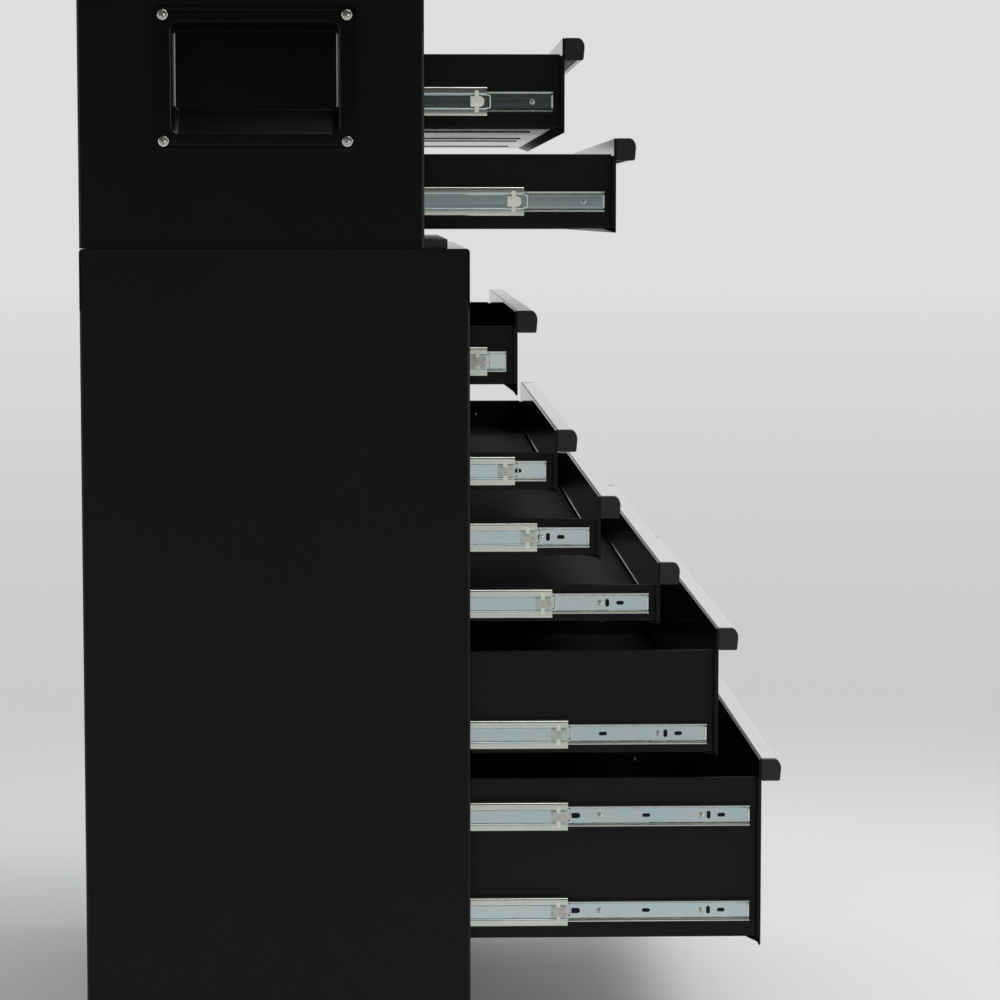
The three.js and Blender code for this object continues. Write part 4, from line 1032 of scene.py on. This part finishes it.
def ribTree():
    # ribs round a hub, turned about X
    sizes = [(label, "Float", size) for label, size in ribSizes.items()]
    others = [("Count", "Int", ribs["count"]), ("Finish", "Material", None)]
    inputs = [("Geometry", "Geometry", None)] + sizes + others
    tree, source, result = startTree("wheelRibs", "GeometryNodeTree", inputs, [("Geometry", "Geometry")])
    inner, outer, width, thickness = (source.outputs[label] for label in ribSizes)
    reach = calculate(tree, "SUBTRACT", outer, inner)
    half = calculate(tree, "MULTIPLY", calculate(tree, "ADD", outer, inner), 0.5)
    size, out = vectorOf(tree, thickness, width, reach), vectorOf(tree, 0, 0, half)
    bar = addNode(tree, "GeometryNodeMeshCube", {"Size": size}).outputs["Mesh"]
    moved = addNode(tree, "GeometryNodeTransform", {"Geometry": bar, "Translation": out})
    line = addNode(tree, "GeometryNodeMeshLine", {"Count": source.outputs["Count"], "Offset": (0, 0, 0)})
    index = addNode(tree, "GeometryNodeInputIndex").outputs[0]
    step = calculate(tree, "DIVIDE", 2 * math.pi, source.outputs["Count"])
    turn = vectorOf(tree, calculate(tree, "MULTIPLY", index, step), 0, 0)
    fan = {"Points": line.outputs[0], "Instance": moved.outputs[0], "Rotation": turn}
    fan = addNode(tree, "GeometryNodeInstanceOnPoints", fan)
    centres = addNode(tree, "GeometryNodeMeshToPoints", {"Mesh": source.outputs["Geometry"]})
    fans = {"Points": centres.outputs[0], "Instance": fan.outputs[0]}
    return endTree(tree, source, result, addNode(tree, "GeometryNodeInstanceOnPoints", fans))


wheelRibs = ribTree()


def bothSides(profile):
    # a profile of (radius, along, fillet, steps) on one side of a wheel's middle, and its mirror
    return ([(radius, -along, *rest) for radius, along, *rest in profile]
            + [(radius, along, *rest) for radius, along, *rest in reversed(profile)])


def dressWheel(node):
    low, high = millimetres(node)
    centre = [(a + b) / 2 for a, b in zip(low, high)]
    radius, half, core = centre[2] - low[2], wheel["width"] / 2, wheel["coreWidth"] / 2
    tyre = [(wheel["tyreIn"], core), (radius - wheel["shoulder"], half, wheel["shoulderRadius"]),
            (radius, half - wheel["crownInset"], wheel["crown"], wheel["crownSteps"])]
    bm = bmesh.new()
    addLathe(bm, rounded(bothSides(tyre)), "x", centre, wheel["steps"])
    finishPiece(node + "_tyre", bm, [coats["tyreRubber"]], node, [node], sharpAngle=30)
    web, boss, draft = wheel["web"] / 2, wheel["bossWidth"] / 2, wheel["draft"]
    outer, inner = wheel["tyreIn"], wheel["tyreIn"] - wheel["rim"]
    profile = [
        (wheel["bore"], boss),
        (wheel["boss"], boss, wheel["bossRadius"]),
        (wheel["boss"] + draft, web, wheel["webRadius"]),
        (inner, web, wheel["webRadius"]),
        (inner + draft, core, wheel["rimRadius"]),
        (outer, core),
    ]
    bm = bmesh.new()
    addLathe(bm, rounded(bothSides(profile), wheel["coreSteps"]), "x", centre, wheel["steps"])
    finishPiece(node + "_core", bm, [coats["wheelHub"]], node, sharpAngle=30)
    values = {**ribSizes, "Count": ribs["count"], "Finish": coats["wheelHub"]}
    growPoints(node + "_ribs", wheelRibs, [centre], values, node)


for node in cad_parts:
    if node.endswith("_wheel"):
        dressWheel(node)
print("wheels made")

# finishes of the solids that stay
keptFinishes = {
    "lid_hinge_pin": metals["zincPlate"], "cabinet_lock_plug": metals["lockChrome"],
    "chest_lock_plug": metals["lockChrome"],
}
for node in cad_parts:
    if "_rack_" in node:
        keptFinishes[node] = metals["rackSteel"]
for node, finish in keptFinishes.items():
    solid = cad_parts[node]
    solid.data.materials.clear()
    solid.data.materials.append(finish)
print("finishes given to", len(keptFinishes), "solids")

# camera
view = {
    "place": (-4.3937, (frontPlane + 83.6) / 1000, 1.1123), "yaw": -1.793, "pitch": -5.051, "lens": 115.19,
    "sensor": 36, "clipEnd": 200,
}
camera = addObject("camera", bpy.data.cameras.new("camera"))
camera.data.lens = view["lens"]
camera.data.sensor_width = view["sensor"]
camera.data.clip_end = view["clipEnd"]
yaw, pitch = math.radians(view["yaw"]), math.radians(view["pitch"])
forward = Vector((math.cos(yaw) * math.cos(pitch), math.sin(yaw) * math.cos(pitch), math.sin(pitch)))
camera.rotation_euler = forward.to_track_quat("-Z", "Y").to_euler()
camera.location = view["place"]
scene.camera = camera

# studio: colours are linear, lengths in metres
studio = {
    "backdrop": (0.728, 0.73, 0.728), "worldLight": (0.62, 0.64, 0.66), "ceiling": (0.3, 0.6),
    "ceilingTone": (0.05, 0.05, 0.05), "floor": (0.745, 0.745, 0.745), "floorSize": 60, "floorRoughness": 0.9,
    "floorSpecular": 0.1, "fade": (1.2, 3.2), "toneReach": 45, "toneNear": (0.06, (0.585, 0.59, 0.60)),
    "toneMid": (0.33, (0.678, 0.68, 0.678)),
}


def anyRay(tree, first, *others):
    # 1 for rays of the named kinds and 0 for the rest
    path = addNode(tree, "ShaderNodeLightPath")
    rays = path.outputs[first]
    for kind in others:
        rays = calculate(tree, "MAXIMUM", rays, path.outputs[kind])
    return rays


def mixShaders(tree, factor, one, two):
    return addNode(tree, "ShaderNodeMixShader", {"Fac": factor, 1: one, 2: two}).outputs[0]


def setSurface(tree, socket):
    # the material shows this shader in place of its plain one
    output = next(node for node in tree.nodes if node.type == "OUTPUT_MATERIAL")
    tree.links.new(socket, output.inputs["Surface"])


def addCard(name, corners, material):
    bm = bmesh.new()
    bm.faces.new([bm.verts.new(corner) for corner in corners])
    mesh = meshFrom(bm, name)
    mesh.materials.append(material)
    return addObject(name, mesh)


world = bpy.data.worlds.new("studio")
scene.world = world
world.use_nodes = True
tree = world.node_tree
tree.nodes.clear()
direction = addNode(tree, "ShaderNodeTexCoord").outputs["Generated"]
sky = addNode(tree, "ShaderNodeSeparateXYZ", {"Vector": direction})
ceiling = remap(tree, sky.outputs["Z"], *studio["ceiling"])
backdrop = mixColours(tree, ceiling, studio["backdrop"], studio["ceilingTone"])
seen = addNode(tree, "ShaderNodeBackground", {"Color": backdrop, "Strength": 1.0})
lit = addNode(tree, "ShaderNodeBackground", {"Color": (*studio["worldLight"], 1), "Strength": 1.0})
rays = anyRay(tree, "Is Camera Ray", "Is Glossy Ray", "Is Transmission Ray")
addNode(tree, "ShaderNodeOutputWorld", {"Surface": mixShaders(tree, rays, lit.outputs[0], seen.outputs[0])})

# the floor takes the object's shadow near it and fades into the backdrop further out
material, tree, shader = startMaterial("paleFloor")
shader.inputs["Base Color"].default_value = (*studio["floor"], 1)
shader.inputs["Roughness"].default_value = studio["floorRoughness"]
shader.inputs["Specular IOR Level"].default_value = studio["floorSpecular"]
distance = addNode(tree, "ShaderNodeVectorMath", {0: objectPlace(tree)}, operation="LENGTH").outputs["Value"]
fade = remap(tree, distance, *studio["fade"])
factor = calculate(tree, "MULTIPLY", fade, anyRay(tree, "Is Camera Ray", "Is Glossy Ray"))
# the glow's tones are painted light and shade: darker near the object, paling to the backdrop's tone far out
tone = addNode(tree, "ShaderNodeValToRGB", {"Fac": remap(tree, distance, 0, studio["toneReach"])})
tones = tone.color_ramp.elements
tones[0].position = studio["toneNear"][0]
tones[0].color = (*studio["toneNear"][1], 1)
tones[1].position = 1
tones[1].color = (*studio["backdrop"], 1)
tones.new(studio["toneMid"][0]).color = (*studio["toneMid"][1], 1)
glow = addNode(tree, "ShaderNodeEmission", {"Color": tone.outputs[0], "Strength": 1.0})
setSurface(tree, mixShaders(tree, factor, shader.outputs[0], glow.outputs[0]))
size = studio["floorSize"]
floor = addCard("floor", ((-size, -size, 0), (size, -size, 0), (size, size, 0), (-size, size, 0)), material)

# the unlit end of the room, behind the camera
card = {"x": -6.4, "low": 1.12, "high": 7, "half": 6, "tone": (0.012, 0.012, 0.012)}
material, tree, shader = startMaterial("darkRoom")
shader.inputs["Base Color"].default_value = (*card["tone"], 1)
shader.inputs["Roughness"].default_value = 1
unseen = addNode(tree, "ShaderNodeBsdfTransparent")
setSurface(tree, mixShaders(tree, anyRay(tree, "Is Camera Ray"), shader.outputs[0], unseen.outputs[0]))
outline = rectangle((-card["half"], card["low"]), (card["half"], card["high"]))
darkRoom = addCard("darkRoom", [(card["x"], a, b) for a, b in outline], material)

lamps = (
    {"name": "overhead", "place": (-0.6, -1.4, 4.2), "aim": (0, -0.1, 0.8), "size": (3.2, 2.4), "power": 95},
    {"name": "frontFill", "place": (-1.5, -4.6, 1.9), "aim": (0, 0, 0.8), "size": (0.9, 2.6), "power": 60},
    {"name": "rearFill", "place": (-1.4, 4.6, 1.9), "aim": (0, 0, 0.8), "size": (0.6, 2.4), "power": 36},
)
for lamp in lamps:
    light = addObject(lamp["name"], bpy.data.lights.new(lamp["name"], "AREA"))
    light.data.shape = "RECTANGLE"
    light.data.size, light.data.size_y = lamp["size"]
    light.data.energy = lamp["power"]
    light.location = lamp["place"]
    light.rotation_euler = (Vector(lamp["aim"]) - Vector(lamp["place"])).to_track_quat("-Z", "Y").to_euler()

scene.view_settings.view_transform = "Standard"
print("camera, lamps and floor placed")
